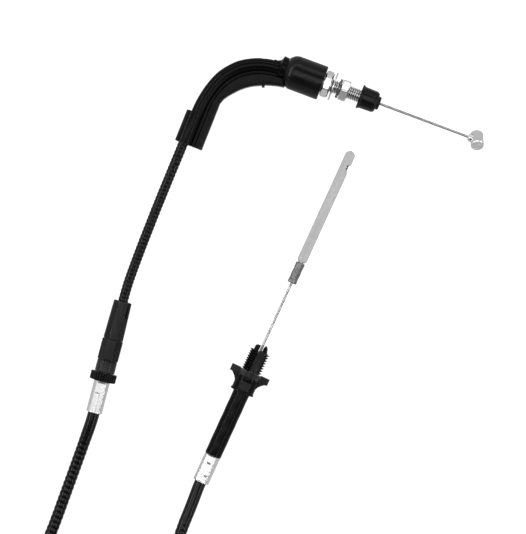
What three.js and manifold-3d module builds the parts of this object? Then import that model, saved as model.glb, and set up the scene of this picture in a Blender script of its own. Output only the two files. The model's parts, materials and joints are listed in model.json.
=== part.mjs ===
// Throttle cable for a motorcycle: an inner wire in a sheath, with an elbow guide and a threaded
// adjuster at the handlebar end, an adjuster in its middle, and a snap fitting and a pull rod at the
// carburettor end. It lies flat, +Z up. Millimetres. Each end has an axis of its own, and its pieces
// are placed by stations along that axis. The cable's unseen length is wound in a coil held by ties.

import * as THREE from "three";
import { mergeVertices } from "three/addons/utils/BufferGeometryUtils.js";
import Module from "manifold-3d";

const wasm = await Module();
wasm.setup();

// ---------------------------------------------------------------- driving dimensions

// Clearances
const gap = 0.3; // between pieces that touch end to end, or one inside the other
const slideRoom = 0.35; // round a piece that slides or turns in another
const fineRoom = 0.2; // round the thin liner
const past = 1; // how far a cutting solid runs past the face that it cuts

// Sides of a round outline: wide pieces, common ones and small bores
const wideSides = 32;
const roundSides = 24;
const studSides = 16;
const boreSides = 12;
const wireSides = 8;

// Inner wire and its liner
const wireRadius = 0.75;
const linerRadius = 1.5;
const guideTubeRadius = 1.6;

// Sheaths
const upperSheathRadius = 3.0;
const mainSheathRadius = 3.5;

// Where the three straight axes lie, before the whole cable is centred on its origin
const handlebarHeading = -20.5;
const inlineStart = [-123.4, -125.45];
const inlineHeading = -104.65;
const carburettorSeat = [-48.4, -166.4];
const carburettorHeading = 65.4;

// Threaded adjuster. Station 0 is the face that the handlebar bracket rests on.
const threadRadius = 3.95;
const threadReach = 22;
const washerRadius = 8.5;
const washerThickness = 1.0;
const headCollarRadius = 7.3;
const headCollarThickness = 0.8;
const headAcrossFlats = 14;
const headThickness = 4.5;
const spigotRadius = 6;
const spigotLength = 10.6;

// Bracket clamp: lock washer and jam nut
const bracketRoom = 2.4;
const lockWasherWall = 0.65;
const lockWasherTooth = 0.8;
const lockWasherThickness = 1.5;
const lockWasherTeeth = 12;
const nutAcrossFlats = 12;
const nutThickness = 4.6;
const nutAngle = -22; // how far the nut has turned from a flat facing up

// Rubber dust cap
const capStation = 16;
const capLipRadius = 7.3;
const capLipWidth = 1.6;
const capRearRadius = 6.8;
const capFrontRadius = 6.2;
const capBodyLength = 9.7;
const capNoseRadius = 3.7;
const capNoseLength = 2.8;
const capCrown = 1.4;

// Barrel nipple
const nippleStation = 89.1;
const nippleRadius = 3.65;
const nippleLength = 9.8;
const nippleChamfer = 0.5;
const nippleTilt = 45;
const nippleSkew = 18;
const nippleBossRadius = 2.4;
const nippleBossReach = 5.3;

// Rubber boot
const bootRadius = 10.25;
const bootCylinderLength = 18.7;
const bootDomeLength = 7.6;
const bootRearRadius = 5.2;

// Elbow guide
const bendStation = -30.5;
const bendRadius = 40;
const bendSweep = 88.8;
const legLength = 22.6;
const straightBeforeBend = 20;
const neckRadius = 3.0;
const neckOverlap = 2;
const beadRadius = 3.9;
const beadOffset = 1.4;
const webHalf = 1.5;
const rimReach = 11.3;
const rimThickness = 1.2;
const rimHalf = 3.2;
const saddleRadius = 5.2;
const saddleLength = 19.3;
const socketDepth = 12;

// Sheath end ferrules
const ferruleWall = 0.5;
const ferruleEndWall = 1.0;
const ferruleLength = 11.1;

// In-line adjuster. Station 0 is the open end of its sleeve.
const sleeveLength = 22.8;
const sleeveTopRadius = 5.45;
const sleeveBottomRadius = 6.05;
const sleeveSlotWidth = 1.6;
const sleeveSlotLength = 6;
const sleeveSlotAngle = 40;
const barrelTubeStart = 11.8;
const barrelTubeWall = 0.6;
const collarLength = 12.4;
const collarAcrossFlats = 12.0;
const collarFacets = 8;
const neckLength = 7.2;
const neckRingRadius = 5.9;
const studRadius = 3.0;
const studWallStation = 27;
const ringThickness = 5.0;
const ringRadius = 7.7;
const ringRootRadius = 7.2;
const ringTeeth = 30;
const studInFerrule = 7;
const crimpLengthA = 18.7;
const crimpRadiusA = 4.55;

// Snap fitting. Station 0 is the flange face that rests on the carburettor's plate.
const flangeThickness = 4.0;
const flangeHalfSpan = 11.8;
const flangeHalfHeight = 6.6;
const flangeTipRadius = 3.2;
const fittingRadius = 7.2;
const fittingLength = 13.4;
const seatStep = 0.4; // how far the flange's middle stands back from its two seat pads
const gussetHalf = 1.2;
const gussetEndStation = -8.6;
const gussetFillet = 1;
const gussetBelly = 0.6;
const windowSize = [4.6, 7.4, 0.9];
const windowStation = -9.6;
const sleeveSocketDepth = 4;
const prongLength = 13.0;
const prongTipLength = 3.6;
const prongRadius = 6.1;
const prongRootRadius = 5.4;
const prongTipRadius = 4.3;
const prongTeeth = 8;
const prongToothShare = 0.9;
const prongTipChamfer = 1;
const prongSlotHalf = 1.1;
const prongFlat = 3.9;

// Guide sleeve and crimped ferrule B
const guideSleeveRadius = 4.95;
const guideSleeveLength = 40.4;
const crimpLengthB = 16.8;
const crimpRadiusB = 4.65;
const sheathInCrimp = 10.6;

// Pull rod
const rodFerruleStation = 56.9;
const rodFerruleLength = 13;
const rodFerruleAcrossFlats = 5.0;
const rodLength = 71.4;
const rodWidth = 5.8;
const rodThickness = 3.0;
const rodTangRadius = 1.5;
const rodTangLength = 3.4;
const rodNotchFromTip = 8.6;
const rodNotchLength = 4.8;
const rodNotchDepth = 1.2;

// How far the inner wire slides at rest, out of the handlebar end and back into it
const pullOut = 34;
const pullIn = 16;

// Coil of the main sheath and its ties
const coilCentre = [-144.4, -307.1];
const coilMeanRadius = 35.2;
const turnPitch = 7.1;
const coilSkin = 0.1;
const tieThickness = 1.0;
const tieWidth = 5;
const tieAngles = [67.5, 247.5];

// Routes of the sheaths, chosen by hand
const upperSheathRoute = [
  [-84.2, -23.28, 10.25],
  [-88.04, -32.94, 10.25],
  [-89.6, -36.9, 10.2],
  [-95.06, -50.0, 9.8],
  [-101.7, -66.1, 9.0],
  [-108.3, -82.6, 8.3],
  [-114.6, -98.9, 7.8],
  [-120.2, -114.4, 7.7],
  [-123.4, -125.45, 7.7],
  [-129.55, -148.96, 7.7],
];
const mainSheathRouteA = [
  [-137.64, -179.92, 7.7],
  [-140.42, -190.56, 7.7],
  [-142.1, -196.2, 7.5],
  [-145.8, -206.6, 6.2],
  [-151.6, -222.5, 4.4],
  [-157.5, -238.6, 3.7],
  [-164.4, -257.4, 3.8],
  [-169.4, -269.3, 4.3],
  [-175.0, -281.2, 4.8],
  [-180.2, -292.27, 4.9],
];
const mainSheathRouteB = [
  [-108.6, -321.93, 12.0],
  [-103.7, -309.2, 11.9],
  [-99.2, -294.6, 11.4],
  [-94.8, -277.6, 10.4],
  [-89.2, -259.6, 9.1],
  [-82.9, -243.6, 7.8],
  [-79.3, -234.1, 7.3],
  [-77.92, -230.86, 7.2],
  [-73.5, -221.22, 7.2],
];

// ---------------------------------------------------------------- materials

function finish(color, roughness, metalness) {
  return () => new THREE.MeshStandardMaterial({ color, roughness, metalness });
}

const blackRubber = finish(0x17181a, 0.62, 0);
const blackPlastic = finish(0x121315, 0.4, 0);
const greyPlastic = finish(0x55585a, 0.55, 0);
const blackSheath = finish(0x1b1c1e, 0.45, 0);
const brightZinc = finish(0xd6d8da, 0.28, 1);
const darkSteel = finish(0x7c7f82, 0.4, 1);
const wireSteel = finish(0xb9bbbd, 0.35, 1);
const rodGrey = finish(0xa9abad, 0.45, 0.6);
const whiteLiner = finish(0xe8e6df, 0.5, 0);
const tieBlack = finish(0x202123, 0.5, 0);

// ---------------------------------------------------------------- solids

const degrees = THREE.MathUtils.degToRad;

// Signed volume of a list of triangles: negative when the faces point in
function signedVolume(positions, triangles) {
  const corners = [new THREE.Vector3(), new THREE.Vector3(), new THREE.Vector3()];
  let volume = 0;
  for (let i = 0; i < triangles.length; i += 3) {
    corners.forEach((corner, k) => corner.fromArray(positions, 3 * triangles[i + k]));
    volume += corners[0].dot(corners[1].cross(corners[2])) / 6;
  }
  return volume;
}

// A closed geometry as a solid that can be cut and joined, whichever way its outline ran
function toSolid(geometry) {
  geometry.deleteAttribute("normal");
  geometry.deleteAttribute("uv");
  const merged = mergeVertices(geometry, 1e-4);
  const positions = merged.getAttribute("position").array;
  const index = Array.from(merged.getIndex().array);
  const triangles = [];
  for (let i = 0; i < index.length; i += 3) {
    const [a, b, c] = index.slice(i, i + 3);
    if (a !== b && b !== c && c !== a) {
      triangles.push(a, b, c);
    }
  }
  if (signedVolume(positions, triangles) < 0) {
    triangles.reverse();
  }
  return new wasm.Manifold(
    new wasm.Mesh({
      numProp: 3,
      vertProperties: new Float32Array(positions),
      triVerts: new Uint32Array(triangles),
    }),
  );
}

function toGeometry(solid) {
  const mesh = solid.getMesh();
  const geometry = new THREE.BufferGeometry();
  geometry.setAttribute("position", new THREE.BufferAttribute(mesh.vertProperties, 3));
  geometry.setIndex(new THREE.BufferAttribute(mesh.triVerts, 1));
  geometry.computeVertexNormals();
  return geometry;
}

// A turned solid round +X. The outline is a list of [station, radius] that ends where it began
// or starts and ends on the axis.
function turned(outline, sides = roundSides) {
  const points = outline.map(([station, radius]) => new THREE.Vector2(radius, station));
  const open = outline[0][1] === 0 && outline[outline.length - 1][1] === 0;
  if (!open) {
    points.push(points[0].clone());
  }
  const geometry = new THREE.LatheGeometry(points, sides);
  geometry.rotateZ(-Math.PI / 2);
  return toSolid(geometry);
}

function rod(start, end, radius, sides = roundSides) {
  return turned([[start, 0], [start, radius], [end, radius], [end, 0]], sides);
}

function tube(start, end, radius, bore, sides = roundSides) {
  return turned([[start, bore], [start, radius], [end, radius], [end, bore]], sides);
}

function circleShape(radius) {
  return new THREE.Shape().absarc(0, 0, radius, 0, 2 * Math.PI, false);
}

// A prism along +X with a regular outline, a flat of it facing up
function prism(start, end, acrossFlats, flats) {
  const radius = acrossFlats / 2 / Math.cos(Math.PI / flats);
  const outline = new THREE.Shape();
  for (let k = 0; k < flats; k += 1) {
    const angle = ((2 * k + 1) * Math.PI) / flats;
    const method = k === 0 ? "moveTo" : "lineTo";
    outline[method](radius * Math.sin(angle), radius * Math.cos(angle));
  }
  return extrudedAlongX(outline, start, end);
}

// An outline drawn in (Y, Z) and extruded along +X
function extrudedAlongX(outline, start, end, curveSegments = 8) {
  const geometry = new THREE.ExtrudeGeometry(outline, {
    depth: end - start,
    bevelEnabled: false,
    curveSegments,
  });
  const toYZX = new THREE.Matrix4().set(0, 0, 1, start, 1, 0, 0, 0, 0, 1, 0, 0, 0, 0, 0, 1);
  geometry.applyMatrix4(toYZX);
  return toSolid(geometry);
}

// An outline drawn in (X, Y) and extruded along +Z, centred on the plane Z = 0
function plate(outline, thickness, curveSegments = 8) {
  const geometry = new THREE.ExtrudeGeometry(outline, {
    depth: thickness,
    bevelEnabled: false,
    curveSegments,
  });
  geometry.translate(0, 0, -thickness / 2);
  return toSolid(geometry);
}

function swept(outline, path, steps, curveSegments = 4) {
  const geometry = new THREE.ExtrudeGeometry(outline, {
    steps,
    extrudePath: path,
    bevelEnabled: false,
    curveSegments,
  });
  return toSolid(geometry);
}

function box(low, high) {
  const size = high.map((value, k) => value - low[k]);
  const geometry = new THREE.BoxGeometry(...size);
  geometry.translate(...low.map((value, k) => value + size[k] / 2));
  return toSolid(geometry);
}

// A round outline with teeth: the radius runs between root and tip, two points to a tooth
function toothedShape(root, tip, teeth) {
  const outline = new THREE.Shape();
  for (let k = 0; k < 2 * teeth; k += 1) {
    const radius = k % 2 === 0 ? tip : root;
    const angle = (k * Math.PI) / teeth;
    const method = k === 0 ? "moveTo" : "lineTo";
    outline[method](radius * Math.cos(angle), radius * Math.sin(angle));
  }
  return outline;
}

function piece(parent, name, material, solid) {
  const mesh = new THREE.Mesh(toGeometry(solid), material());
  mesh.name = name;
  parent.add(mesh);
  return mesh;
}

function axisGroup(parent, x, y, z, heading) {
  const group = new THREE.Group();
  group.position.set(x, y, z);
  group.rotation.z = degrees(heading);
  group.updateMatrix();
  parent.add(group);
  return group;
}

// ---------------------------------------------------------------- the elbow's path

const sweepAngle = degrees(bendSweep);
const arcLength = bendRadius * sweepAngle;
const legEnd = arcLength + legLength;
const socketFloor = legEnd - socketDepth;
const bendCentre = new THREE.Vector2(bendStation, -bendRadius);
const bendEnd = new THREE.Vector2(
  bendCentre.x - bendRadius * Math.sin(sweepAngle),
  bendCentre.y + bendRadius * Math.cos(sweepAngle),
);

// The wire's path in the handlebar axis's frame: straight back along -X, round the bend, and down
// the leg. Lengths are measured along the path from the bend's start: negative before it.
class ElbowPath extends THREE.Curve {
  constructor(start, end) {
    super();
    this.start = start;
    this.end = end;
  }

  getPoint(t, target = new THREE.Vector3()) {
    const along = this.start + t * (this.end - this.start);
    if (along <= 0) {
      return target.set(bendStation - along, 0, 0);
    }
    if (along < arcLength) {
      const angle = along / bendRadius;
      const x = bendCentre.x - bendRadius * Math.sin(angle);
      return target.set(x, bendCentre.y + bendRadius * Math.cos(angle), 0);
    }
    const down = along - arcLength;
    const x = bendEnd.x - down * Math.cos(sweepAngle);
    return target.set(x, bendEnd.y - down * Math.sin(sweepAngle), 0);
  }
}

// ---------------------------------------------------------------- handlebar end

const washerBack = -washerThickness;
const headFront = washerBack - gap;
const headCollarBack = headFront - headCollarThickness;
const headBack = headCollarBack - headThickness;
const spigotBack = headBack - spigotLength;
const bootFront = headBack - gap;
const bootDomeStart = bootFront - bootCylinderLength;
const bootRear = bootDomeStart - bootDomeLength;
const neckFront = spigotBack - gap;
const nutBack = bracketRoom + lockWasherThickness + gap;
const nutFront = nutBack + nutThickness;
const linerBore = wireRadius + slideRoom;
const channelRadius = linerRadius + fineRoom;
const nippleBore = wireRadius + gap;
const threadRoom = threadRadius + gap;
const wireTail = bendStation + pullIn + 4 * gap;
const endFerruleRadius = upperSheathRadius + gap + ferruleWall;

function boot() {
  const outline = [[bootFront, spigotRadius + gap], [bootFront, bootRadius]];
  const steps = 6;
  for (let k = 0; k <= steps; k += 1) {
    const angle = (k / steps) * (Math.PI / 2);
    const station = bootDomeStart - bootDomeLength * Math.sin(angle);
    outline.push([station, bootRearRadius + (bootRadius - bootRearRadius) * Math.cos(angle)]);
  }
  const step = neckFront - gap;
  const neckBore = neckRadius + 2 * gap;
  outline.push([bootRear, neckBore], [step, neckBore], [step, spigotRadius + gap]);
  return turned(outline, wideSides);
}

function adjusterBody() {
  const spigot = rod(spigotBack, headBack, spigotRadius);
  const head = prism(headBack, headCollarBack, headAcrossFlats, 6);
  const collar = rod(headCollarBack, headFront, headCollarRadius);
  const thread = rod(headFront, threadReach, threadRadius);
  const bore = rod(spigotBack - past, threadReach + past, channelRadius, boreSides);
  return spigot.add(head).add(collar).add(thread).subtract(bore);
}

function lockWasher() {
  const root = threadRoom + lockWasherWall;
  const outline = toothedShape(root, root + lockWasherTooth, lockWasherTeeth);
  const ring = extrudedAlongX(outline, bracketRoom, bracketRoom + lockWasherThickness);
  return ring.subtract(rod(bracketRoom - past, nutBack + past, threadRoom));
}

function jamNut() {
  const bore = rod(nutBack - past, nutFront + past, threadRoom);
  return prism(nutBack, nutFront, nutAcrossFlats, 6).rotate([nutAngle, 0, 0]).subtract(bore);
}

function dustCap() {
  const lipFront = capStation + capLipWidth;
  const bodyFront = capStation + capBodyLength;
  const noseFront = bodyFront + capNoseLength;
  const cavityEnd = threadReach + gap;
  return turned([
    [capStation, threadRoom],
    [capStation, capLipRadius],
    [lipFront, capLipRadius],
    [lipFront, capRearRadius],
    [bodyFront - capCrown, capFrontRadius],
    [bodyFront, capFrontRadius - capCrown],
    [bodyFront, capNoseRadius],
    [noseFront, capNoseRadius],
    [noseFront, linerBore],
    [cavityEnd, linerBore],
    [cavityEnd, threadRoom],
  ]);
}

function nipple() {
  const half = nippleLength / 2;
  const chamferRadius = nippleRadius - nippleChamfer;
  const barrel = turned([
    [-half, 0],
    [-half, chamferRadius],
    [nippleChamfer - half, nippleRadius],
    [half - nippleChamfer, nippleRadius],
    [half, chamferRadius],
    [half, 0],
  ]);
  const boss = rod(-nippleBossReach, 0, nippleBossRadius, studSides);
  const bore = rod(-nippleBossReach - past, nippleRadius / 2, nippleBore, boreSides);
  const leaning = barrel.rotate([0, 0, -90]).rotate([-nippleTilt, 0, 0]).rotate([0, 0, nippleSkew]);
  return leaning.add(boss).subtract(bore).translate([nippleStation, 0, 0]);
}

function elbowSection() {
  const rimIn = rimReach - rimThickness;
  const startAngle = Math.asin(webHalf / beadRadius);
  const webStart = beadOffset + beadRadius * Math.cos(startAngle);
  const outline = new THREE.Shape();
  outline.moveTo(webHalf, webStart);
  outline.lineTo(webHalf, rimIn);
  outline.lineTo(rimHalf, rimIn);
  outline.lineTo(rimHalf, rimReach);
  outline.lineTo(-rimHalf, rimReach);
  outline.lineTo(-rimHalf, rimIn);
  outline.lineTo(-webHalf, rimIn);
  outline.lineTo(-webHalf, webStart);
  outline.absarc(0, beadOffset, beadRadius, Math.PI / 2 + startAngle, 2.5 * Math.PI - startAngle);
  return outline;
}

function elbowGuide(leg) {
  const reach = (bendStation - bootRear + gap) / (bendRadius - bootRearRadius);
  const bodyStart = bendRadius * Math.asin(reach);
  const body = swept(elbowSection(), new ElbowPath(bodyStart, legEnd), 22, 7);
  const neck = rod(bootRear - neckOverlap, neckFront, neckRadius);
  const saddle = rod(legLength - saddleLength, legLength, saddleRadius);
  const socket = rod(legLength - socketDepth, legLength + past, endFerruleRadius + gap);
  const channel = swept(circleShape(channelRadius), new ElbowPath(-straightBeforeBend, legEnd), 30, 5);
  const onLeg = (solid) => solid.transform(leg.matrix.elements);
  return body.add(neck).add(onLeg(saddle)).subtract(channel).subtract(onLeg(socket));
}

// A drawn cup on the end of a sheath, its end wall at the start
function endFerrule(start) {
  const end = start + ferruleLength;
  const bore = upperSheathRadius + gap;
  return turned([
    [start, linerBore],
    [start, endFerruleRadius],
    [end, endFerruleRadius],
    [end, bore],
    [start + ferruleEndWall, bore],
    [start + ferruleEndWall, linerBore],
  ]);
}

function addHandlebarEnd(cable) {
  const end = axisGroup(cable, 0, 0, bootRadius, handlebarHeading);
  const leg = axisGroup(end, bendEnd.x, bendEnd.y, 0, 180 + bendSweep);
  const linerStart = bendStation - threadReach + gap;
  const linerPath = new ElbowPath(linerStart, socketFloor);
  const liner = swept(circleShape(linerRadius), linerPath, 26, 5);
  const holePath = new ElbowPath(linerStart - past, socketFloor + past);
  const linerHole = swept(circleShape(linerBore), holePath, 26, 5);
  const innerWirePath = new ElbowPath(gap, socketFloor);
  const washerBore = rod(washerBack - past, past, threadRoom);

  piece(end, "elbow_guide", blackPlastic, elbowGuide(leg));
  piece(end, "elbow_liner", whiteLiner, liner.subtract(linerHole));
  piece(end, "elbow_wire", wireSteel, swept(circleShape(wireRadius), innerWirePath, 22));
  piece(end, "boot", blackRubber, boot());
  piece(end, "adjuster_body", brightZinc, adjusterBody());
  piece(end, "flat_washer", brightZinc, rod(washerBack, 0, washerRadius).subtract(washerBore));
  piece(end, "lock_washer", darkSteel, lockWasher());
  piece(end, "jam_nut", brightZinc, jamNut());
  piece(end, "dust_cap", blackRubber, dustCap());
  const wire = rod(wireTail, nippleStation, wireRadius, wireSides);
  piece(end, "handlebar_wire", wireSteel, wire);
  piece(end, "nipple", brightZinc, nipple());
  piece(leg, "elbow_ferrule", darkSteel, endFerrule(legLength - socketDepth + gap));
}

// ---------------------------------------------------------------- in-line adjuster

const sleeveEnd = sleeveLength;
const collarStart = sleeveEnd + gap;
const collarEnd = collarStart + collarLength;
const neckEnd = collarEnd + neckLength;
const ringStart = neckEnd + gap;
const ringEnd = ringStart + ringThickness;
const crimpStartA = ringEnd + gap;
const studStart = studWallStation + gap;
const studEnd = crimpStartA + studInFerrule;
const studRoom = studRadius + gap;
const barrelTubeRadius = endFerruleRadius + gap + barrelTubeWall;

function inlineSleeve() {
  const step = barrelTubeStart - gap;
  const sheathRoom = upperSheathRadius + gap;
  const tubeRoom = barrelTubeRadius + gap;
  const shell = turned([
    [0, sheathRoom],
    [0, sleeveTopRadius],
    [sleeveLength, sleeveBottomRadius],
    [sleeveLength, tubeRoom],
    [step, tubeRoom],
    [step, sheathRoom],
  ]);
  const slotHalf = sleeveSlotWidth / 2;
  const slot = box([-past, 0, -slotHalf], [sleeveSlotLength, sleeveBottomRadius + past, slotHalf]);
  return shell.subtract(slot.rotate([sleeveSlotAngle, 0, 0]));
}

function inlineBarrel() {
  const tubePart = rod(barrelTubeStart, collarStart + gap, barrelTubeRadius);
  const collar = prism(collarStart, collarEnd, collarAcrossFlats, collarFacets);
  const neck = rod(collarEnd - gap, neckEnd, neckRingRadius);
  const seatEnd = studWallStation - ferruleEndWall;
  const seat = rod(barrelTubeStart - past, seatEnd, endFerruleRadius + gap);
  const bore = rod(barrelTubeStart, neckEnd + past, studRoom);
  return tubePart.add(collar).add(neck).subtract(seat).subtract(bore);
}

function lockRing() {
  const outline = toothedShape(ringRootRadius, ringRadius, ringTeeth);
  const bore = rod(ringStart - past, ringEnd + past, studRoom);
  return extrudedAlongX(outline, ringStart, ringEnd).subtract(bore);
}

function crimpA() {
  const end = crimpStartA + crimpLengthA;
  const step = studEnd + gap;
  return turned([
    [crimpStartA, studRoom],
    [crimpStartA, crimpRadiusA],
    [end, crimpRadiusA],
    [end, mainSheathRadius + gap],
    [step, mainSheathRadius + gap],
    [step, studRoom],
  ]);
}

function addInlineAdjuster(cable) {
  const end = axisGroup(cable, ...inlineStart, ringRadius, inlineHeading);
  const ferruleStart = studWallStation - ferruleEndWall - gap;
  const cup = endFerrule(0).rotate([0, 0, 180]).translate([ferruleStart, 0, 0]);

  piece(end, "adjuster_sleeve", greyPlastic, inlineSleeve());
  piece(end, "adjuster_barrel", greyPlastic, inlineBarrel());
  piece(end, "barrel_ferrule", darkSteel, cup);
  piece(end, "adjuster_stud", darkSteel, tube(studStart, studEnd, studRadius, linerBore, studSides));
  piece(end, "lock_ring", greyPlastic, lockRing());
  piece(end, "adjuster_wire", wireSteel, rod(ferruleStart, studEnd, wireRadius, wireSides));
  piece(end, "ferrule_a", brightZinc, crimpA());
}

// ---------------------------------------------------------------- carburettor end

const fittingBack = -fittingLength;
const guideSleeveFront = fittingBack + sleeveSocketDepth - gap;
const guideSleeveBack = fittingBack - guideSleeveLength;
const crimpFrontB = guideSleeveBack - gap;
const crimpBackB = crimpFrontB - crimpLengthB;
const sheathStopB = crimpBackB + sheathInCrimp;
const guideTubeBack = sheathStopB + 2 * gap;
const carburettorWireTail = guideTubeBack + pullOut;
const prongStart = gap - seatStep;
const prongTipStart = prongStart + prongLength;
const prongEnd = prongTipStart + prongTipLength;
const rodStart = rodFerruleStation + rodFerruleLength + gap;
const rodEnd = rodStart + rodLength;

// Flange outline in (Y, Z): two wings with round tips
function flangeShape() {
  const outline = new THREE.Shape();
  const wing = flangeHalfSpan - flangeTipRadius;
  outline.moveTo(-wing, -flangeTipRadius);
  outline.lineTo(-fittingRadius / 2, -flangeHalfHeight);
  outline.lineTo(fittingRadius / 2, -flangeHalfHeight);
  outline.lineTo(wing, -flangeTipRadius);
  outline.absarc(wing, 0, flangeTipRadius, -Math.PI / 2, Math.PI / 2, false);
  outline.lineTo(fittingRadius / 2, flangeHalfHeight);
  outline.lineTo(-fittingRadius / 2, flangeHalfHeight);
  outline.lineTo(-wing, flangeTipRadius);
  outline.absarc(-wing, 0, flangeTipRadius, Math.PI / 2, 1.5 * Math.PI, false);
  return outline;
}

// Gusset outline in (X, Y), both sides of the collar, with hollow edges
function gussetShape() {
  const wing = flangeHalfSpan - flangeTipRadius / 2;
  const flangeBack = -flangeThickness;
  const outline = new THREE.Shape();
  outline.moveTo(flangeBack + gap, -wing);
  outline.lineTo(flangeBack + gap, wing);
  const filletX = flangeBack - gussetFillet;
  const filletY = fittingRadius + gussetBelly;
  outline.quadraticCurveTo(filletX, filletY, gussetEndStation, fittingRadius - gap);
  outline.lineTo(gussetEndStation, gap - fittingRadius);
  outline.quadraticCurveTo(filletX, -filletY, flangeBack + gap, -wing);
  return outline;
}

function snapFitting() {
  const [windowLength, windowWidth, windowDepth] = windowSize;
  const flange = extrudedAlongX(flangeShape(), -flangeThickness, 0, 4);
  const collar = rod(fittingBack, -flangeThickness + gap, fittingRadius);
  const gussets = plate(gussetShape(), 2 * gussetHalf, 3);
  const bore = rod(fittingBack - past, past, guideTubeRadius + gap, boreSides);
  const socket = rod(fittingBack - past, fittingBack + sleeveSocketDepth, guideSleeveRadius + gap);
  const windowCut = box(
    [windowStation - windowLength / 2, -windowWidth / 2, fittingRadius - windowDepth],
    [windowStation + windowLength / 2, windowWidth / 2, fittingRadius + past],
  );
  const prongRoom = prongRadius + slideRoom;
  const seatCut = box([-seatStep, -prongRoom, -fittingRadius], [past, prongRoom, fittingRadius]);
  const holes = [bore, socket, windowCut, seatCut];
  return holes.reduce((solid, hole) => solid.subtract(hole), flange.add(collar).add(gussets));
}

// One toothed prong: side 1 is the left one, side -1 the right one with a flat along its top
function prong(side) {
  const toothPitch = prongLength / prongTeeth;
  const outline = [[prongStart, 0]];
  for (let k = 0; k < prongTeeth; k += 1) {
    outline.push([prongStart + k * toothPitch, prongRadius]);
    outline.push([prongStart + (k + prongToothShare) * toothPitch, prongRootRadius]);
  }
  outline.push([prongTipStart, prongTipRadius], [prongEnd - prongTipChamfer, prongTipRadius]);
  outline.push([prongEnd, prongTipRadius - prongTipChamfer], [prongEnd, 0]);
  const low = prongStart - past;
  const high = prongEnd + past;
  const reach = 2 * prongRadius;
  const half = box([low, prongSlotHalf, -reach], [high, reach, reach]);
  const channel = rod(low, high, guideTubeRadius + 2 * gap, boreSides);
  const solid = turned(outline, 20).subtract(channel);
  if (side > 0) {
    return solid.intersect(half);
  }
  const above = box([low, -reach, prongFlat], [high, 0, reach]);
  return solid.intersect(half.rotate([180, 0, 0])).subtract(above);
}

function crimpB() {
  const step = sheathStopB + gap;
  return turned([
    [crimpFrontB, guideTubeRadius + gap],
    [crimpFrontB, crimpRadiusB],
    [crimpBackB, crimpRadiusB],
    [crimpBackB, mainSheathRadius + gap],
    [step, mainSheathRadius + gap],
    [step, guideTubeRadius + gap],
  ]);
}

function rodFerrule() {
  const end = rodFerruleStation + rodFerruleLength;
  const tangEnd = rodStart - rodTangLength - 2 * gap;
  const tangRoom = rod(tangEnd, end + past, rodTangRadius + gap, boreSides);
  const wireRoom = rod(rodFerruleStation - past, end - rodTangLength, wireRadius + gap, boreSides);
  return prism(rodFerruleStation, end, rodFerruleAcrossFlats, 6).subtract(tangRoom).subtract(wireRoom);
}

function pullRod() {
  const half = rodWidth / 2;
  const notchEnd = rodEnd - rodNotchFromTip;
  const notchStart = notchEnd - rodNotchLength;
  const outline = new THREE.Shape();
  outline.moveTo(rodStart, -half);
  outline.lineTo(notchStart, -half);
  outline.lineTo(notchStart + rodNotchDepth, rodNotchDepth - half);
  outline.lineTo(notchEnd, rodNotchDepth - half);
  outline.lineTo(notchEnd, -half);
  outline.absarc(rodEnd - half, 0, half, -Math.PI / 2, Math.PI / 2, false);
  outline.lineTo(rodStart, half);
  const tang = rod(rodStart - rodTangLength, rodStart + past, rodTangRadius, boreSides);
  return plate(outline, rodThickness, 6).add(tang);
}

function addCarburettorEnd(cable) {
  const end = axisGroup(cable, ...carburettorSeat, fittingRadius, carburettorHeading);
  const sleeveBore = guideTubeRadius + gap;
  const wireFront = rodStart - rodTangLength - 3 * gap;

  piece(end, "ferrule_b", brightZinc, crimpB());
  const guideSleeve = tube(guideSleeveBack, guideSleeveFront, guideSleeveRadius, sleeveBore);
  piece(end, "guide_sleeve", blackPlastic, guideSleeve);
  const guideTube = tube(guideTubeBack, gap - seatStep, guideTubeRadius, linerBore, boreSides);
  piece(end, "guide_tube", whiteLiner, guideTube);
  piece(end, "snap_fitting", blackPlastic, snapFitting());
  piece(end, "prong_left", blackPlastic, prong(1));
  piece(end, "prong_right", blackPlastic, prong(-1));
  const wire = rod(carburettorWireTail, wireFront, wireRadius, wireSides);
  piece(end, "carburettor_wire", wireSteel, wire);
  piece(end, "rod_ferrule", darkSteel, rodFerrule());
  piece(end, "pull_rod", rodGrey, pullRod());
}

// ---------------------------------------------------------------- sheaths, coil and ties

const coilFloor = tieThickness + gap;
const coilLayer = coilFloor + coilSkin + mainSheathRadius;
const coilTop = coilLayer + turnPitch + mainSheathRadius + coilSkin;
const coilInner = coilMeanRadius - turnPitch / 2 - mainSheathRadius - coilSkin;
const coilOuter = coilMeanRadius + turnPitch / 2 + mainSheathRadius + coilSkin;

function sheath(route, radius, steps) {
  const path = new THREE.CatmullRomCurve3(route.map((point) => new THREE.Vector3(...point)));
  return swept(circleShape(radius), path, steps, 4);
}

// The ring that holds the coiled turns, standing on +Z and grown on every side by a margin
function coilRing(margin) {
  const outline = [
    [coilFloor - margin, coilInner - margin],
    [coilFloor - margin, coilOuter + margin],
    [coilTop + margin, coilOuter + margin],
    [coilTop + margin, coilInner - margin],
  ];
  return turned(outline, 40).rotate([0, -90, 0]).translate([...coilCentre, 0]);
}

function coilTie(angle) {
  const low = coilInner - gap - tieThickness;
  const high = coilOuter + gap + tieThickness;
  const top = coilTop + gap + tieThickness;
  const half = tieWidth / 2;
  const block = box([low, -half, 0], [high, half, top]);
  const room = box(
    [low + tieThickness, -tieWidth, tieThickness],
    [high - tieThickness, tieWidth, top - tieThickness],
  );
  return block.subtract(room).rotate([0, 0, angle]).translate([...coilCentre, 0]);
}

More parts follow.
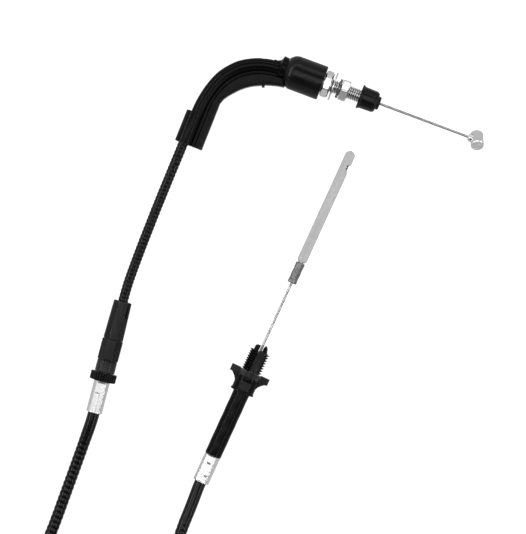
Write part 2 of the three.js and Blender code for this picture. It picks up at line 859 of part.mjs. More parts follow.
function addSheaths(cable) {
  const ringRoom = coilRing(gap);
  const strandA = sheath(mainSheathRouteA, mainSheathRadius, 10).subtract(ringRoom);
  const strandB = sheath(mainSheathRouteB, mainSheathRadius, 10).subtract(ringRoom);

  piece(cable, "upper_sheath", blackSheath, sheath(upperSheathRoute, upperSheathRadius, 10));
  piece(cable, "main_sheath_a", blackSheath, strandA);
  piece(cable, "main_sheath_coil", blackSheath, coilRing(0));
  piece(cable, "main_sheath_b", blackSheath, strandB);
  tieAngles.forEach((angle, k) => piece(cable, `coil_tie_${k + 1}`, tieBlack, coilTie(angle)));
}

// ---------------------------------------------------------------- the cable

// The origin is the middle of the underside of everything but the free sheaths and the coil
function centreOnOrigin(cable) {
  const bounds = new THREE.Box3();
  cable.updateMatrixWorld(true);
  cable.traverse((object) => {
    if (object.isMesh && !/sheath|coil/.test(object.name)) {
      bounds.expandByObject(object, true);
    }
  });
  const centre = bounds.getCenter(new THREE.Vector3());
  cable.position.set(-centre.x, -centre.y, -bounds.min.z);
}

const throttleCable = new THREE.Group();
addHandlebarEnd(throttleCable);
addInlineAdjuster(throttleCable);
addCarburettorEnd(throttleCable);
addSheaths(throttleCable);
centreOnOrigin(throttleCable);

export default throttleCable;
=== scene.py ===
# Throttle cable for a motorcycle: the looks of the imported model. Lengths below are millimetres on each
# axis's own stations, and a piece's mesh is put into the row frame, in metres, as it is made.

import json
from math import atan2, ceil, copysign, cos, exp, hypot, pi, radians, sin, sqrt, tan

import bmesh
import bpy
from mathutils import Matrix, Vector


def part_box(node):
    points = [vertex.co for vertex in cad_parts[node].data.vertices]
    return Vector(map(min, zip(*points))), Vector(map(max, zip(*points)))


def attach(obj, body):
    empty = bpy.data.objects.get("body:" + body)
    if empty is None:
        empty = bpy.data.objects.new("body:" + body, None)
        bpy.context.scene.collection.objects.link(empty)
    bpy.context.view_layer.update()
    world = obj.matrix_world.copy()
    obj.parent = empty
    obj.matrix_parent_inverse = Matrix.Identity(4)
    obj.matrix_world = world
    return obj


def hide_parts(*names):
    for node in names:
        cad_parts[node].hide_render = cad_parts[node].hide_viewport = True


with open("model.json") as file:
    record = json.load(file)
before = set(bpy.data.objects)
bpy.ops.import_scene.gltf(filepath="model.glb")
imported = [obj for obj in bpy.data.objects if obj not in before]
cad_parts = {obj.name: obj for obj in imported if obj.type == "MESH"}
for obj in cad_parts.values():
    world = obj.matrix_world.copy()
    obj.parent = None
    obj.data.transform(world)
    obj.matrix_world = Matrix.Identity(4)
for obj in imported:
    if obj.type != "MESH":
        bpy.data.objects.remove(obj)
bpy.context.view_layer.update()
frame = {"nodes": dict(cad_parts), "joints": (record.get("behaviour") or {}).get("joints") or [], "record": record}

MM = 0.001
UP = Vector((0, 0, 1))
JOINTS = {joint["name"]: joint for joint in frame["joints"]}


# ---- axes of the cable

class Axis:
    """A straight axis of the cable: +X runs along it, +Z is up, and lengths on it are millimetres."""

    def __init__(self, origin, direction):
        along = Vector(direction).normalized()
        side = UP.cross(along)
        turn = Matrix((along, side, UP)).transposed().to_4x4()
        self.heading = atan2(along.y, along.x)
        self.matrix = Matrix.Translation(origin) @ turn @ Matrix.Scale(MM, 4)
        self.inverse = self.matrix.inverted()

    def points(self, node):
        return [self.inverse @ vertex.co for vertex in frame["nodes"][node].data.vertices]

    def span(self, node):
        """First and last station of a CAD node."""
        stations = [point.x for point in self.points(node)]
        return min(stations), max(stations)

    def reach(self, node):
        """Largest distance of a CAD node from the axis."""
        return max(hypot(point.y, point.z) for point in self.points(node))

    def at(self, x, y=0.0, z=0.0):
        return self.matrix @ Vector((x, y, z))


def midpoint(*names):
    places = [Vector(JOINTS[name]["pos_m"]) for name in names]
    return sum(places, Vector()) / len(places)


PRONG_START = -0.1
bar = Axis(JOINTS["nut_turn"]["pos_m"], JOINTS["nut_turn"]["axis"])
mid = Axis(JOINTS["barrel_turn"]["pos_m"], JOINTS["barrel_turn"]["axis"])
rod_axis = Vector(JOINTS["rod_slide"]["axis"])
carb_seat = midpoint("left_prong_flex", "right_prong_flex") - PRONG_START * MM * rod_axis
carb = Axis(carb_seat, rod_axis)
ROUTE_ORIGIN = Vector((bar.at(0).x, bar.at(0).y, 0))


# ---- camera, floor and light

def linked(name, data):
    """A new object in the scene."""
    obj = bpy.data.objects.new(name, data)
    bpy.context.scene.collection.objects.link(obj)
    return obj


LENS = 135
SENSOR = 36
# How wide the view is at the height of the pieces, and the point of the floor at its middle
VIEW_WIDTH = 307.7
VIEW_CENTRE = (-12.7, 1.5)
PIECE_HEIGHT = 8


def add_camera():
    data = bpy.data.cameras.new("camera")
    data.lens = LENS
    data.sensor_width = SENSOR
    data.sensor_fit = "HORIZONTAL"
    data.clip_end = 20
    data.clip_start = 0.01
    camera = linked("camera", data)
    distance = VIEW_WIDTH * LENS / SENSOR
    camera.location = Vector((*VIEW_CENTRE, PIECE_HEIGHT + distance)) * MM
    bpy.context.scene.camera = camera


def add_area_light(name, size, power, place, target=(0, 0, 0)):
    data = bpy.data.lights.new(name, "AREA")
    data.shape = "RECTANGLE"
    data.size, data.size_y = size
    data.energy = power
    light = linked(name, data)
    light.location = place
    light.rotation_euler = (Vector(target) - Vector(place)).to_track_quat("-Z", "Y").to_euler()


def add_world():
    """A dim room, brighter from the horizon down. A stop is (height of the way looked in, level)."""
    world = bpy.data.worlds.new("room")
    bpy.context.scene.world = world
    world.use_nodes = True
    tree = world.node_tree
    tree.nodes.clear()
    output = tree.nodes.new("ShaderNodeOutputWorld")
    background = tree.nodes.new("ShaderNodeBackground")
    direction = tree.nodes.new("ShaderNodeTexCoord")
    split = tree.nodes.new("ShaderNodeSeparateXYZ")
    ramp = tree.nodes.new("ShaderNodeValToRGB")
    tree.links.new(direction.outputs["Generated"], split.inputs[0])
    tree.links.new(split.outputs["Z"], ramp.inputs[0])
    tree.links.new(ramp.outputs[0], background.inputs["Color"])
    tree.links.new(background.outputs[0], output.inputs["Surface"])
    stops = ((0.0, 0.6), (0.25, 0.55), (0.45, 0.1), (1.0, 0.12))
    elements = ramp.color_ramp.elements
    while len(elements) < len(stops):
        elements.new(0.5)
    for element, (place, level) in zip(elements, stops):
        element.position = place
        element.color = (level, level, level, 1)


def add_floor():
    """Pale paper. It stays out of glossy reflections, so that it doesn't light the edges from below."""
    half = 3.0
    mesh = bpy.data.meshes.new("floor")
    corners = [(-half, -half, 0), (half, -half, 0), (half, half, 0), (-half, half, 0)]
    mesh.from_pydata(corners, [], [(0, 1, 2, 3)])
    floor = linked("floor", mesh)
    paper = bpy.data.materials.new("floor_paper")
    paper.use_nodes = True
    shader = paper.node_tree.nodes["Principled BSDF"]
    shader.inputs["Base Color"].default_value = (0.3, 0.3, 0.3, 1)
    shader.inputs["Roughness"].default_value = 0.9
    shader.inputs["Specular IOR Level"].default_value = 0.0
    shader.inputs["Emission Color"].default_value = (1, 1, 1, 1)
    shader.inputs["Emission Strength"].default_value = 0.95
    mesh.materials.append(paper)
    floor.visible_glossy = False


add_camera()
add_world()
add_floor()
KEY_PLACE = (-0.05, 0.06, 1.2)
add_area_light("key_light", (1.3, 0.5), 4.3, KEY_PLACE, (*KEY_PLACE[:2], 0))
add_area_light("back_light", (2.0, 0.6), 6.5, (0.1, 1.3, 1.0))
add_area_light("left_strip", (1.3, 0.14), 7, (-1.0, 0.40, 0.86))
add_area_light("right_strip", (1.3, 0.12), 5, (1.0, -0.30, 0.86))
bpy.context.scene.view_settings.view_transform = "Standard"


# ---- materials

def rgba(color):
    """The colour as a socket takes it: one that comes from a node stays as it is."""
    return color if isinstance(color, bpy.types.NodeSocket) else (*color, 1)


class Finish:
    """A procedural material. Its textures lie in the row frame, turned so that X runs along an axis."""

    def __init__(self, name, color, roughness, metallic=0.0, specular=0.5, heading=0.0):
        self.material = bpy.data.materials.new(name)
        self.material.use_nodes = True
        self.tree = self.material.node_tree
        self.shader = self.tree.nodes["Principled BSDF"]
        self.color = color
        self.roughness = roughness
        self.shader.inputs["Metallic"].default_value = metallic
        self.shader.inputs["Specular IOR Level"].default_value = specular
        place = self.tree.nodes.new("ShaderNodeTexCoord")
        self.turned = self.node("ShaderNodeMapping", Vector=place.outputs["Object"])
        self.turned.inputs["Rotation"].default_value = (0, 0, -heading)
        self.height = None

    def feed(self, socket, value):
        """Links value to the socket where it comes from a node, and sets the socket to it otherwise."""
        if isinstance(value, bpy.types.NodeSocket):
            self.tree.links.new(value, socket)
        else:
            socket.default_value = value

    def node(self, kind, **sockets):
        made = self.tree.nodes.new(kind)
        for name, value in sockets.items():
            self.feed(made.inputs[name.replace("_", " ")], value)
        return made

    def texture(self, kind, size, stretch):
        """A texture whose features are about size millimetres, times stretch along each way."""
        mapping = self.node("ShaderNodeMapping", Vector=self.turned.outputs[0])
        mapping.inputs["Scale"].default_value = [1 / share for share in stretch]
        return self.node(kind, Vector=mapping.outputs[0], Scale=1 / (size * MM))

    def noise(self, size, detail=3.0, stretch=(1, 1, 1)):
        texture = self.texture("ShaderNodeTexNoise", size, stretch)
        texture.inputs["Detail"].default_value = detail
        return texture.outputs["Fac"]

    def cells(self, size):
        return self.texture("ShaderNodeTexVoronoi", size, (1, 1, 1)).outputs["Distance"]

    def ranged(self, fac, low, high, start=0.3, end=0.7):
        """From low to high while fac goes from start to end."""
        made = self.node("ShaderNodeMapRange", Value=fac, From_Min=start, From_Max=end)
        self.feed(made.inputs["To Min"], low)
        self.feed(made.inputs["To Max"], high)
        return made.outputs[0]

    def math(self, operation, first, second):
        made = self.node("ShaderNodeMath")
        made.operation = operation
        self.feed(made.inputs[0], first)
        self.feed(made.inputs[1], second)
        return made.outputs[0]

    def mixed(self, fac, first, second):
        made = self.node("ShaderNodeMix")
        made.data_type = "RGBA"
        for number, value in ((0, fac), (6, rgba(first)), (7, rgba(second))):
            self.feed(made.inputs[number], value)
        return made.outputs[2]

    def tint(self, fac, shade, start=0.3, end=0.7):
        """Mixes the colour so far with shade where fac is high."""
        self.color = self.mixed(self.ranged(fac, 0, 1, start, end), self.color, shade)

    def worn(self, shade, amount=0.6):
        """Edges and corners rubbed to shade."""
        geometry = self.node("ShaderNodeNewGeometry")
        edge = self.ranged(geometry.outputs["Pointiness"], 0, amount, 0.52, 0.6)
        patch = self.ranged(self.noise(1.6), 0.35, 1.0)
        self.color = self.mixed(self.math("MULTIPLY", edge, patch), self.color, shade)

    def shaded_crevices(self, shade, reach):
        """Painted shade in corners and roots closer than reach millimetres to a facing surface."""
        corner = self.node("ShaderNodeAmbientOcclusion", Distance=reach * MM)
        corner.samples = 8
        corner.only_local = True
        crevice_shade = self.ranged(corner.outputs["AO"], 1, 0, 0.45, 0.9)
        self.color = self.mixed(crevice_shade, self.color, shade)

    def rough(self, fac, low, high, start=0.3, end=0.7):
        self.roughness = self.ranged(fac, low, high, start, end)

    def bump(self, fac, depth):
        """Adds relief that is depth millimetres deep."""
        part = self.math("MULTIPLY", fac, depth * MM)
        self.height = part if self.height is None else self.math("ADD", self.height, part)

    def done(self):
        self.feed(self.shader.inputs["Base Color"], rgba(self.color))
        self.feed(self.shader.inputs["Roughness"], self.roughness)
        if self.height is not None:
            bump = self.node("ShaderNodeBump", Height=self.height, Distance=1.0)
            self.tree.links.new(bump.outputs[0], self.shader.inputs["Normal"])
        return self.material


def moulded_black():
    """Satin black nylon with a fine sparked grain, flow marks and rubbed corners."""
    finish = Finish("moulded_black", (0.0025, 0.0025, 0.0028), 0.28, specular=0.09)
    finish.tint(finish.noise(9, 4, (3, 1, 1)), (0.0045, 0.0047, 0.0047), 0.4, 0.75)
    finish.worn((0.04, 0.04, 0.039))
    finish.rough(finish.noise(2.4, 4), 0.19, 0.3)
    finish.bump(finish.noise(0.35, 2), 0.014)
    finish.bump(finish.noise(5, 2), 0.08)
    return finish.done()


def boot_rubber():
    """Soft black rubber: broad sheen, faint bloom and a few mould marks."""
    finish = Finish("boot_rubber", (0.0022, 0.0022, 0.0026), 0.3, specular=0.22, heading=bar.heading)
    finish.tint(finish.noise(7, 5, (2.5, 1, 1)), (0.005, 0.005, 0.0053), 0.45, 0.8)
    finish.worn((0.03, 0.03, 0.029), 0.5)
    finish.rough(finish.noise(3, 4, (3, 1, 1)), 0.22, 0.36)
    finish.bump(finish.noise(0.5, 3), 0.014)
    finish.bump(finish.noise(4, 2, (4, 1, 1)), 0.1)
    return finish.done()


def sheath_jacket():
    """Extruded black jacket: fine drawing lines and a faint haze."""
    finish = Finish("sheath_jacket", (0.0022, 0.0022, 0.0026), 0.24, specular=0.24)
    finish.tint(finish.noise(6, 4), (0.005, 0.0052, 0.0055), 0.45, 0.8)
    finish.rough(finish.noise(1.5, 4), 0.16, 0.28)
    finish.bump(finish.noise(0.5, 3), 0.01)
    return finish.done()


def grey_moulding():
    """Charcoal moulding of the in-line adjuster, with drag lines along it."""
    finish = Finish("grey_moulding", (0.0085, 0.0087, 0.009), 0.34, specular=0.16, heading=mid.heading)
    finish.tint(finish.noise(3.2, 4, (6, 1, 1)), (0.018, 0.0183, 0.0185), 0.4, 0.75)
    finish.worn((0.08, 0.08, 0.079))
    finish.rough(finish.noise(1.4, 4, (5, 1, 1)), 0.24, 0.4)
    finish.bump(finish.noise(0.45, 3, (5, 1, 1)), 0.045)
    return finish.done()


def zinc_plate(axis):
    """Bright zinc on turned steel: rings of tool marks, faint blotches of the plating."""
    finish = Finish("zinc_plate", (0.8, 0.8, 0.795), 0.3, 1.0, heading=axis.heading)
    finish.tint(finish.noise(3.5, 4), (0.70, 0.705, 0.71), 0.5, 0.85)
    finish.tint(finish.noise(0.25, 2, (1, 12, 12)), (0.62, 0.625, 0.63), 0.62, 0.9)
    # painted shade darkens the crevices and the gaps between parts
    finish.shaded_crevices((0.07, 0.07, 0.07), 0.9)
    finish.rough(finish.noise(1.1, 4), 0.24, 0.4)
    finish.bump(finish.noise(0.16, 2, (1, 14, 14)), 0.006)
    finish.bump(finish.noise(1.4, 3), 0.012)
    return finish.done()


def dark_steel():
    """Dull plated steel with darker smears."""
    finish = Finish("dark_steel", (0.26, 0.262, 0.265), 0.34, 1.0)
    finish.tint(finish.noise(1.8, 4), (0.12, 0.12, 0.125), 0.4, 0.8)
    # painted shade darkens the crevices and the gaps between parts
    finish.shaded_crevices((0.02, 0.02, 0.02), 0.9)
    finish.rough(finish.noise(0.8, 3), 0.28, 0.5)
    finish.bump(finish.noise(0.4, 3), 0.012)
    return finish.done()


def strand_steel():
    """Galvanised wire of the inner cable, greyer down in the lay."""
    finish = Finish("strand_steel", (0.46, 0.46, 0.46), 0.3, 1.0)
    finish.tint(finish.noise(1.2, 3), (0.34, 0.34, 0.345), 0.45, 0.8)
    finish.rough(finish.noise(0.6, 3), 0.24, 0.42)
    finish.bump(finish.noise(0.12, 2), 0.004)
    return finish.done()


def rod_grey():
    """Matt blasted metal of the pull rod, drawn lengthwise."""
    finish = Finish("rod_grey", (0.54, 0.542, 0.545), 0.42, 0.7, heading=carb.heading)
    finish.tint(finish.noise(4, 5, (8, 1, 1)), (0.62, 0.622, 0.625), 0.4, 0.75)
    finish.tint(finish.noise(0.5, 3), (0.4, 0.402, 0.405), 0.6, 0.85)
    # painted shade darkens the crevices and the gaps between parts
    finish.shaded_crevices((0.01, 0.01, 0.01), 0.9)
    finish.rough(finish.noise(0.9, 4), 0.5, 0.7)
    finish.bump(finish.noise(0.3, 3), 0.014)
    return finish.done()


def liner_white():
    """Extruded white liner, waxy, with faint lines along it."""
    finish = Finish("liner_white", (0.74, 0.73, 0.69), 0.45)
    finish.tint(finish.noise(2.5, 4), (0.64, 0.63, 0.59), 0.5, 0.85)
    finish.rough(finish.noise(0.8, 3), 0.38, 0.55)
    finish.bump(finish.noise(0.3, 2), 0.008)
    return finish.done()


def tie_black():
    """Black nylon strap with a ribbed grain."""
    finish = Finish("tie_black", (0.006, 0.006, 0.0063), 0.4, specular=0.25)
    finish.tint(finish.noise(2, 3), (0.012, 0.012, 0.0123), 0.45, 0.8)
    finish.worn((0.07, 0.07, 0.07))
    finish.rough(finish.noise(0.8, 3), 0.36, 0.5)
    finish.bump(finish.cells(0.5), 0.03)
    return finish.done()


MATERIAL_MAKERS = (
    moulded_black, boot_rubber, sheath_jacket, grey_moulding, dark_steel, strand_steel, rod_grey,
    liner_white, tie_black,
)
MATERIALS = {make.__name__: make() for make in MATERIAL_MAKERS}
ZINC = {id(axis): zinc_plate(axis) for axis in (bar, mid, carb)}


def material_for(slot_name, axis=bar):
    return ZINC[id(axis)] if slot_name == "zinc_plate" else MATERIALS[slot_name]


# ---- mesh helpers

SHARP_ANGLE = radians(32)
TAU = 2 * pi


def strip(first, second, count):
    """Faces between two rings of count vertices, which start at first and at second."""
    pairs = [(k, (k + 1) % count) for k in range(count)]
    return [(first + k, first + after, second + after, second + k) for k, after in pairs]


def mesh_object(name, vertices, faces, matrix=None):
    mesh = bpy.data.meshes.new(name)
    mesh.from_pydata([tuple(vertex) for vertex in vertices], [], faces)
    if matrix is not None:
        mesh.transform(matrix)
    tidy = bmesh.new()
    tidy.from_mesh(mesh)
    bmesh.ops.remove_doubles(tidy, verts=tidy.verts, dist=1e-7)
    bmesh.ops.recalc_face_normals(tidy, faces=tidy.faces)
    tidy.to_mesh(mesh)
    tidy.free()
    return linked(name, mesh)


def combined(base, *others, operation="UNION"):
    """Joins others to base, or cuts them out of it, and removes them."""
    for other in others:
        modifier = base.modifiers.new("combine", "BOOLEAN")
        modifier.operation = operation
        modifier.solver = "EXACT"
        modifier.object = other
    bpy.context.view_layer.update()
    graph = bpy.context.evaluated_depsgraph_get()
    mesh = bpy.data.meshes.new_from_object(base.evaluated_get(graph))
    base.modifiers.clear()
    base.data = mesh
    for other in others:
        bpy.data.objects.remove(other)
    return base


def cut(base, *others):
    return combined(base, *others, operation="DIFFERENCE")


def bevelled(obj, width, segments=2, angle=40):
    modifier = obj.modifiers.new("soft_edges", "BEVEL")
    modifier.width = width * MM
    modifier.segments = segments
    modifier.limit_method = "ANGLE"
    modifier.angle_limit = radians(angle)
    modifier.harden_normals = False
    return obj


def finished(obj, body, slot_name, *nodes, axis=bar):
    """Shades a piece, gives it its material, and puts it in the place of its CAD nodes."""
    obj.data.shade_smooth()
    obj.data.set_sharp_from_angle(angle=SHARP_ANGLE)
    obj.data.materials.clear()
    obj.data.materials.append(material_for(slot_name, axis))
    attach(obj, body)
    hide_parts(*nodes)
    return obj


def eased(outline, radius, steps=3):
    """The outline with its inner corners rounded by up to radius."""
    points = [Vector(point) for point in outline]
    result = [points[0]]
    for before, corner, after in zip(points, points[1:], points[2:]):
        back = before - corner
        ahead = after - corner
        reach = min(radius, 0.45 * back.length, 0.45 * ahead.length)
        start = corner + back.normalized() * reach
        end = corner + ahead.normalized() * reach
        for k in range(steps + 1):
            t = k / steps
            result.append((1 - t) ** 2 * start + 2 * t * (1 - t) * corner + t * t * end)
    result.append(points[-1])
    return [tuple(point) for point in result]


def turned(name, axis, outer, bore=(), sides=72, shape=None, matrix=None):
    """A turned piece from outer, a list of (station, radius). shape(station, radius, angle) may change
    the outer radius. bore runs back through the piece; without it the ends are closed on the axis."""
    rings = [(station, radius, True) for station, radius in outer]
    rings += [(station, radius, False) for station, radius in bore]
    vertices = []
    for station, radius, outside in rings:
        for k in range(sides):
            angle = TAU * k / sides
            reach = shape(station, radius, angle) if shape and outside else radius
            vertices.append((station, reach * sin(angle), reach * cos(angle)))
    faces = []
    count = len(rings)
    for ring in range(count if bore else count - 1):
        faces += strip(ring * sides, (ring + 1) % count * sides, sides)
    if not bore:
        faces.append(tuple(range(sides)))
        faces.append(tuple(range((count - 1) * sides, count * sides)))
    return mesh_object(name, vertices, faces, axis.matrix @ (matrix or Matrix()))


def cylinder(name, axis, start, end, radius, sides=48, matrix=None):
    return turned(name, axis, [(start, radius), (end, radius)], (), sides, None, matrix)


def stations(start, end, step):
    """Stations from start to end, no more than step apart."""
    count = max(1, ceil((end - start) / step))
    return [start + (end - start) * k / count for k in range(count + 1)]


def polygon_radius(across_flats, flats, angle, turn=0.0):
    """Radius of a regular outline at an angle. A flat faces up at no turn."""
    step = TAU / flats
    off = (angle - turn + step / 2) % step - step / 2
    return across_flats / 2 / cos(off)


def extruded(name, axis, outline, low, high, plane="XY", matrix=None):
    """A plate from an outline in the plane named, between two levels on the third way."""
    place = {"XY": lambda u, v, w: (u, v, w), "YZ": lambda u, v, w: (w, u, v)}[plane]
    count = len(outline)
    vertices = [place(u, v, level) for level in (low, high) for u, v in outline]
    faces = [tuple(range(count)), tuple(range(count, 2 * count))] + strip(0, count, count)
    return mesh_object(name, vertices, faces, axis.matrix @ (matrix or Matrix()))


def block(name, axis, low, high, matrix=None):
    outline = [(low[0], low[1]), (high[0], low[1]), (high[0], high[1]), (low[0], high[1])]
    return extruded(name, axis, outline, low[2], high[2], matrix=matrix)


def arc(centre, radius, start, end, steps=8):
    """Points of an arc, its angles in degrees."""
    result = []
    for k in range(steps + 1):
        angle = radians(start + (end - start) * k / steps)
        result.append((centre[0] + radius * cos(angle), centre[1] + radius * sin(angle)))
    return result


def loft(name, rings, matrix=None):
    """A closed skin over rings of points, each with the same count, with flat ends."""
    count = len(rings[0])
    vertices = [point for ring in rings for point in ring]
    faces = []
    for ring in range(len(rings) - 1):
        faces += strip(ring * count, (ring + 1) * count, count)
    faces.append(tuple(range(count)))
    faces.append(tuple(range(len(vertices) - count, len(vertices))))
    return mesh_object(name, vertices, faces, matrix)


# ---- sheaths: the free cords

UPPER_ROUTE = [
    (-84.2, -23.28, 10.25), (-88.04, -32.94, 10.25), (-89.6, -36.9, 10.2), (-95.06, -50.0, 9.8),
    (-101.7, -66.1, 9.0), (-108.3, -82.6, 8.3), (-114.6, -98.9, 7.8), (-120.2, -114.4, 7.7),
    (-123.4, -125.45, 7.7), (-129.55, -148.96, 7.7),
]
MAIN_ROUTE_A = [
    (-137.64, -179.92, 7.7), (-140.42, -190.56, 7.7), (-142.1, -196.2, 7.5), (-145.8, -206.6, 6.2),
    (-151.6, -222.5, 4.4), (-157.5, -238.6, 3.7), (-164.4, -257.4, 3.8), (-169.4, -269.3, 4.3),
    (-175.0, -281.2, 4.8), (-180.2, -292.27, 4.9),
]
MAIN_ROUTE_B = [
    (-108.6, -321.93, 12.0), (-103.7, -309.2, 11.9), (-99.2, -294.6, 11.4), (-94.8, -277.6, 10.4),
    (-89.2, -259.6, 9.1), (-82.9, -243.6, 7.8), (-79.3, -234.1, 7.3), (-77.92, -230.86, 7.2),
    (-73.5, -221.22, 7.2),
]
UPPER_RADIUS = 3.0
MAIN_RADIUS = 3.5
COIL_CENTRE = (-144.4, -307.1)
COIL_RADII = (31.65, 38.75)
COIL_LEVELS = (4.9, 12.0)
COIL_ENTRY = 157.5
COIL_TURNS = 3.5
COIL_STEPS = 24
# (turn where a hand-over starts, turn where it ends, whether radius or level changes, new value)
HAND_OVERS = [
    (0.833, 1.0, "radius", COIL_RADII[0]),
    (1.667, 1.833, "level", COIL_LEVELS[1]),
    (2.5, 2.667, "radius", COIL_RADII[1]),
]


def eased_step(value, start, end):
    t = min(1.0, max(0.0, (value - start) / (end - start)))
    return t * t * (3 - 2 * t)


def coil_route():
    """The coil's turns: outside and below first, then inside, up, and outside again."""
    points = []
    for k in range(1, round(COIL_TURNS * COIL_STEPS)):
        turn = k / COIL_STEPS
        state = {"radius": COIL_RADII[1], "level": COIL_LEVELS[0]}
        for start, end, what, value in HAND_OVERS:
            state[what] += (value - state[what]) * eased_step(turn, start, end)
        angle = radians(COIL_ENTRY) + TAU * turn
        x = COIL_CENTRE[0] + state["radius"] * cos(angle)
        y = COIL_CENTRE[1] + state["radius"] * sin(angle)
        points.append((x, y, state["level"]))
    return points


def between(first, second, start, end, t):
    """The point at t on the line that is at first at start, and at second at end."""
    return (first * (end - t) + second * (t - start)) / (end - start)


def smooth_route(route, step):
    """A centripetal Catmull-Rom curve through the route, as points about step apart."""
    knots = [Vector(point) for point in route]
    knots = [2 * knots[0] - knots[1], *knots, 2 * knots[-1] - knots[-2]]
    result = []
    for a, b, c, d in zip(knots, knots[1:], knots[2:], knots[3:]):
        t1 = sqrt((b - a).length)
        t2 = t1 + sqrt((c - b).length)
        t3 = t2 + sqrt((d - c).length)
        count = max(1, round((c - b).length / step))
        for k in range(count):
            t = t1 + (t2 - t1) * k / count
            middle = between(b, c, t1, t2, t)
            before = between(between(a, b, 0, t1, t), middle, 0, t2, t)
            after = between(middle, between(c, d, t2, t3, t), t1, t3, t)
            result.append(between(before, after, t1, t2, t))
    result.append(knots[-2])
    return result


RIB_SHARPNESS = 0.3
RIB_STEPS = 6
RIB_FADE = 14
SHEATH_SIDES = 24


def rib(phase):
    """Height from 0 to 1 of a jacket that has shrunk on to its spiral armour."""
    return (0.5 + 0.5 * cos(TAU * phase)) ** RIB_SHARPNESS


def sheath(name, route, radius, pitch, depth, plain):
    """A ribbed tube along a route in row millimetres. plain is the smooth length at each end."""
    path = smooth_route(route, pitch / RIB_STEPS)
    lengths = [0.0]
    for before, after in zip(path, path[1:]):
        lengths.append(lengths[-1] + (after - before).length)
    total = lengths[-1]
    side = (path[1] - path[0]).cross(UP).normalized()
    rings = []
    for k, (point, along) in enumerate(zip(path, lengths)):
        ahead = path[min(k + 1, len(path) - 1)] - path[max(k - 1, 0)]
        ahead.normalize()
        side = (side - ahead * side.dot(ahead)).normalized()
        over = side.cross(ahead)
        into_ribs = min(along - plain[0], total - along - plain[1])
        fade = eased_step(into_ribs, 0, RIB_FADE)
        ring = []
        for j in range(SHEATH_SIDES):
            angle = TAU * j / SHEATH_SIDES
            groove = 1 - rib(along / pitch - angle / TAU)
            reach = radius - depth * fade * groove
            ring.append(point + (side * cos(angle) + over * sin(angle)) * reach)
        rings.append(ring)
    obj = loft(name, rings, Matrix.Translation(ROUTE_ORIGIN) @ Matrix.Scale(MM, 4))
    centre = [ROUTE_ORIGIN + point * MM for point in path]
    return obj, centre, total * MM


def add_upper_sheath():
    obj, centre, length = sheath("upper_sheath_jacket", UPPER_ROUTE, UPPER_RADIUS, 2.4, 0.34, (0, 12))
    finished(obj, "root", "sheath_jacket", "upper_sheath")


def add_main_sheath():
    route = MAIN_ROUTE_A + coil_route() + MAIN_ROUTE_B
    obj, centre, length = sheath("main_sheath_jacket", route, MAIN_RADIUS, 3.1, 0.36, (20, 30))
    finished(obj, "root", "sheath_jacket", "main_sheath_a", "main_sheath_coil", "main_sheath_b")


TIE_ANGLES = (67.5, 247.5)
TIE_THICKNESS = 1.0
TIE_WIDTH = 4.8
TIE_CORNER = 3.2
TIE_HALF = 8.45
TIE_HEAD_HEIGHT = 5.4


def rounded_loop(low, high, radius):
    """A rectangle with round corners, counter-clockwise."""
    (x0, y0), (x1, y1) = low, high
    corners = ((x1, y1, 0), (x0, y1, 90), (x0, y0, 180), (x1, y0, 270))
    points = []
    for x, y, start in corners:
        centre = (x - copysign(radius, x - x0 - 0.1), y - copysign(radius, y - y0 - 0.1))
        points += arc(centre, radius, start, start + 90, 8)
    return points


def strap_ring(name, outer, inner, width, place):
    """A flat band between two loops of the same count, standing on edge across its width."""
    count = len(outer)
    vertices = []
    for side in (-width / 2, width / 2):
        vertices += [(x, side, z) for x, z in outer + inner]
    near_out, near_in, far_out, far_in = (k * count for k in range(4))
    faces = strip(near_out, near_in, count) + strip(far_out, far_in, count)
    faces += strip(near_out, far_out, count) + strip(near_in, far_in, count)
    return mesh_object(name, vertices, faces, place)


def placed_block(name, low, high, place):
    """A block in a strap's own frame."""
    (x0, y0, z0), (x1, y1, z1) = low, high
    ring = [(x0, y0), (x1, y0), (x1, y1), (x0, y1)]
    return loft(name, [[Vector((x, y, z)) for x, y in ring] for z in (z0, z1)], place)


def coil_tie(number, angle):
    """A strap round the coil's bundle, with its locking head and tail on the outer side."""
    low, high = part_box(f"coil_tie_{number}")
    centre = (low + high) / (2 * MM)
    coil_middle = Vector((*COIL_CENTRE, 0)) + ROUTE_ORIGIN / MM
    reach = (Vector((centre.x, centre.y, 0)) - coil_middle).length
    turn = Matrix.Rotation(radians(angle), 4, "Z")
    on_coil = Matrix.Translation(coil_middle) @ turn @ Matrix.Translation((reach, 0, 0))
    place = Matrix.Scale(MM, 4) @ on_coil
    top = high.z / MM
    outer = rounded_loop((-TIE_HALF, 0), (TIE_HALF, top), TIE_CORNER)
    inside = TIE_HALF - TIE_THICKNESS
    inner_corner = TIE_CORNER - TIE_THICKNESS / 2
    inner = rounded_loop((-inside, TIE_THICKNESS), (inside, top - TIE_THICKNESS), inner_corner)
    strap = strap_ring(f"coil_tie_strap_{number}", outer, inner, TIE_WIDTH, place)
    foot = 0.35 * top
    crown = foot + TIE_HEAD_HEIGHT
    head = placed_block("head", (TIE_HALF - 0.3, -3.2, foot), (TIE_HALF + 2.6, 3.2, crown), place)
    tail_start = (TIE_HALF + 0.8, -1.9, foot - 0.1)
    tail = placed_block("tail", tail_start, (TIE_HALF + 1.9, 1.9, crown + 1.6), place)
    combined(strap, head, tail)
    bevelled(strap, 0.2)
    return finished(strap, "root", "tie_black", f"coil_tie_{number}")


# ---- handlebar end

BOOT_DROP = 0.5
BOOT_REAR = -29.6
BOOT_CAVITY = -18


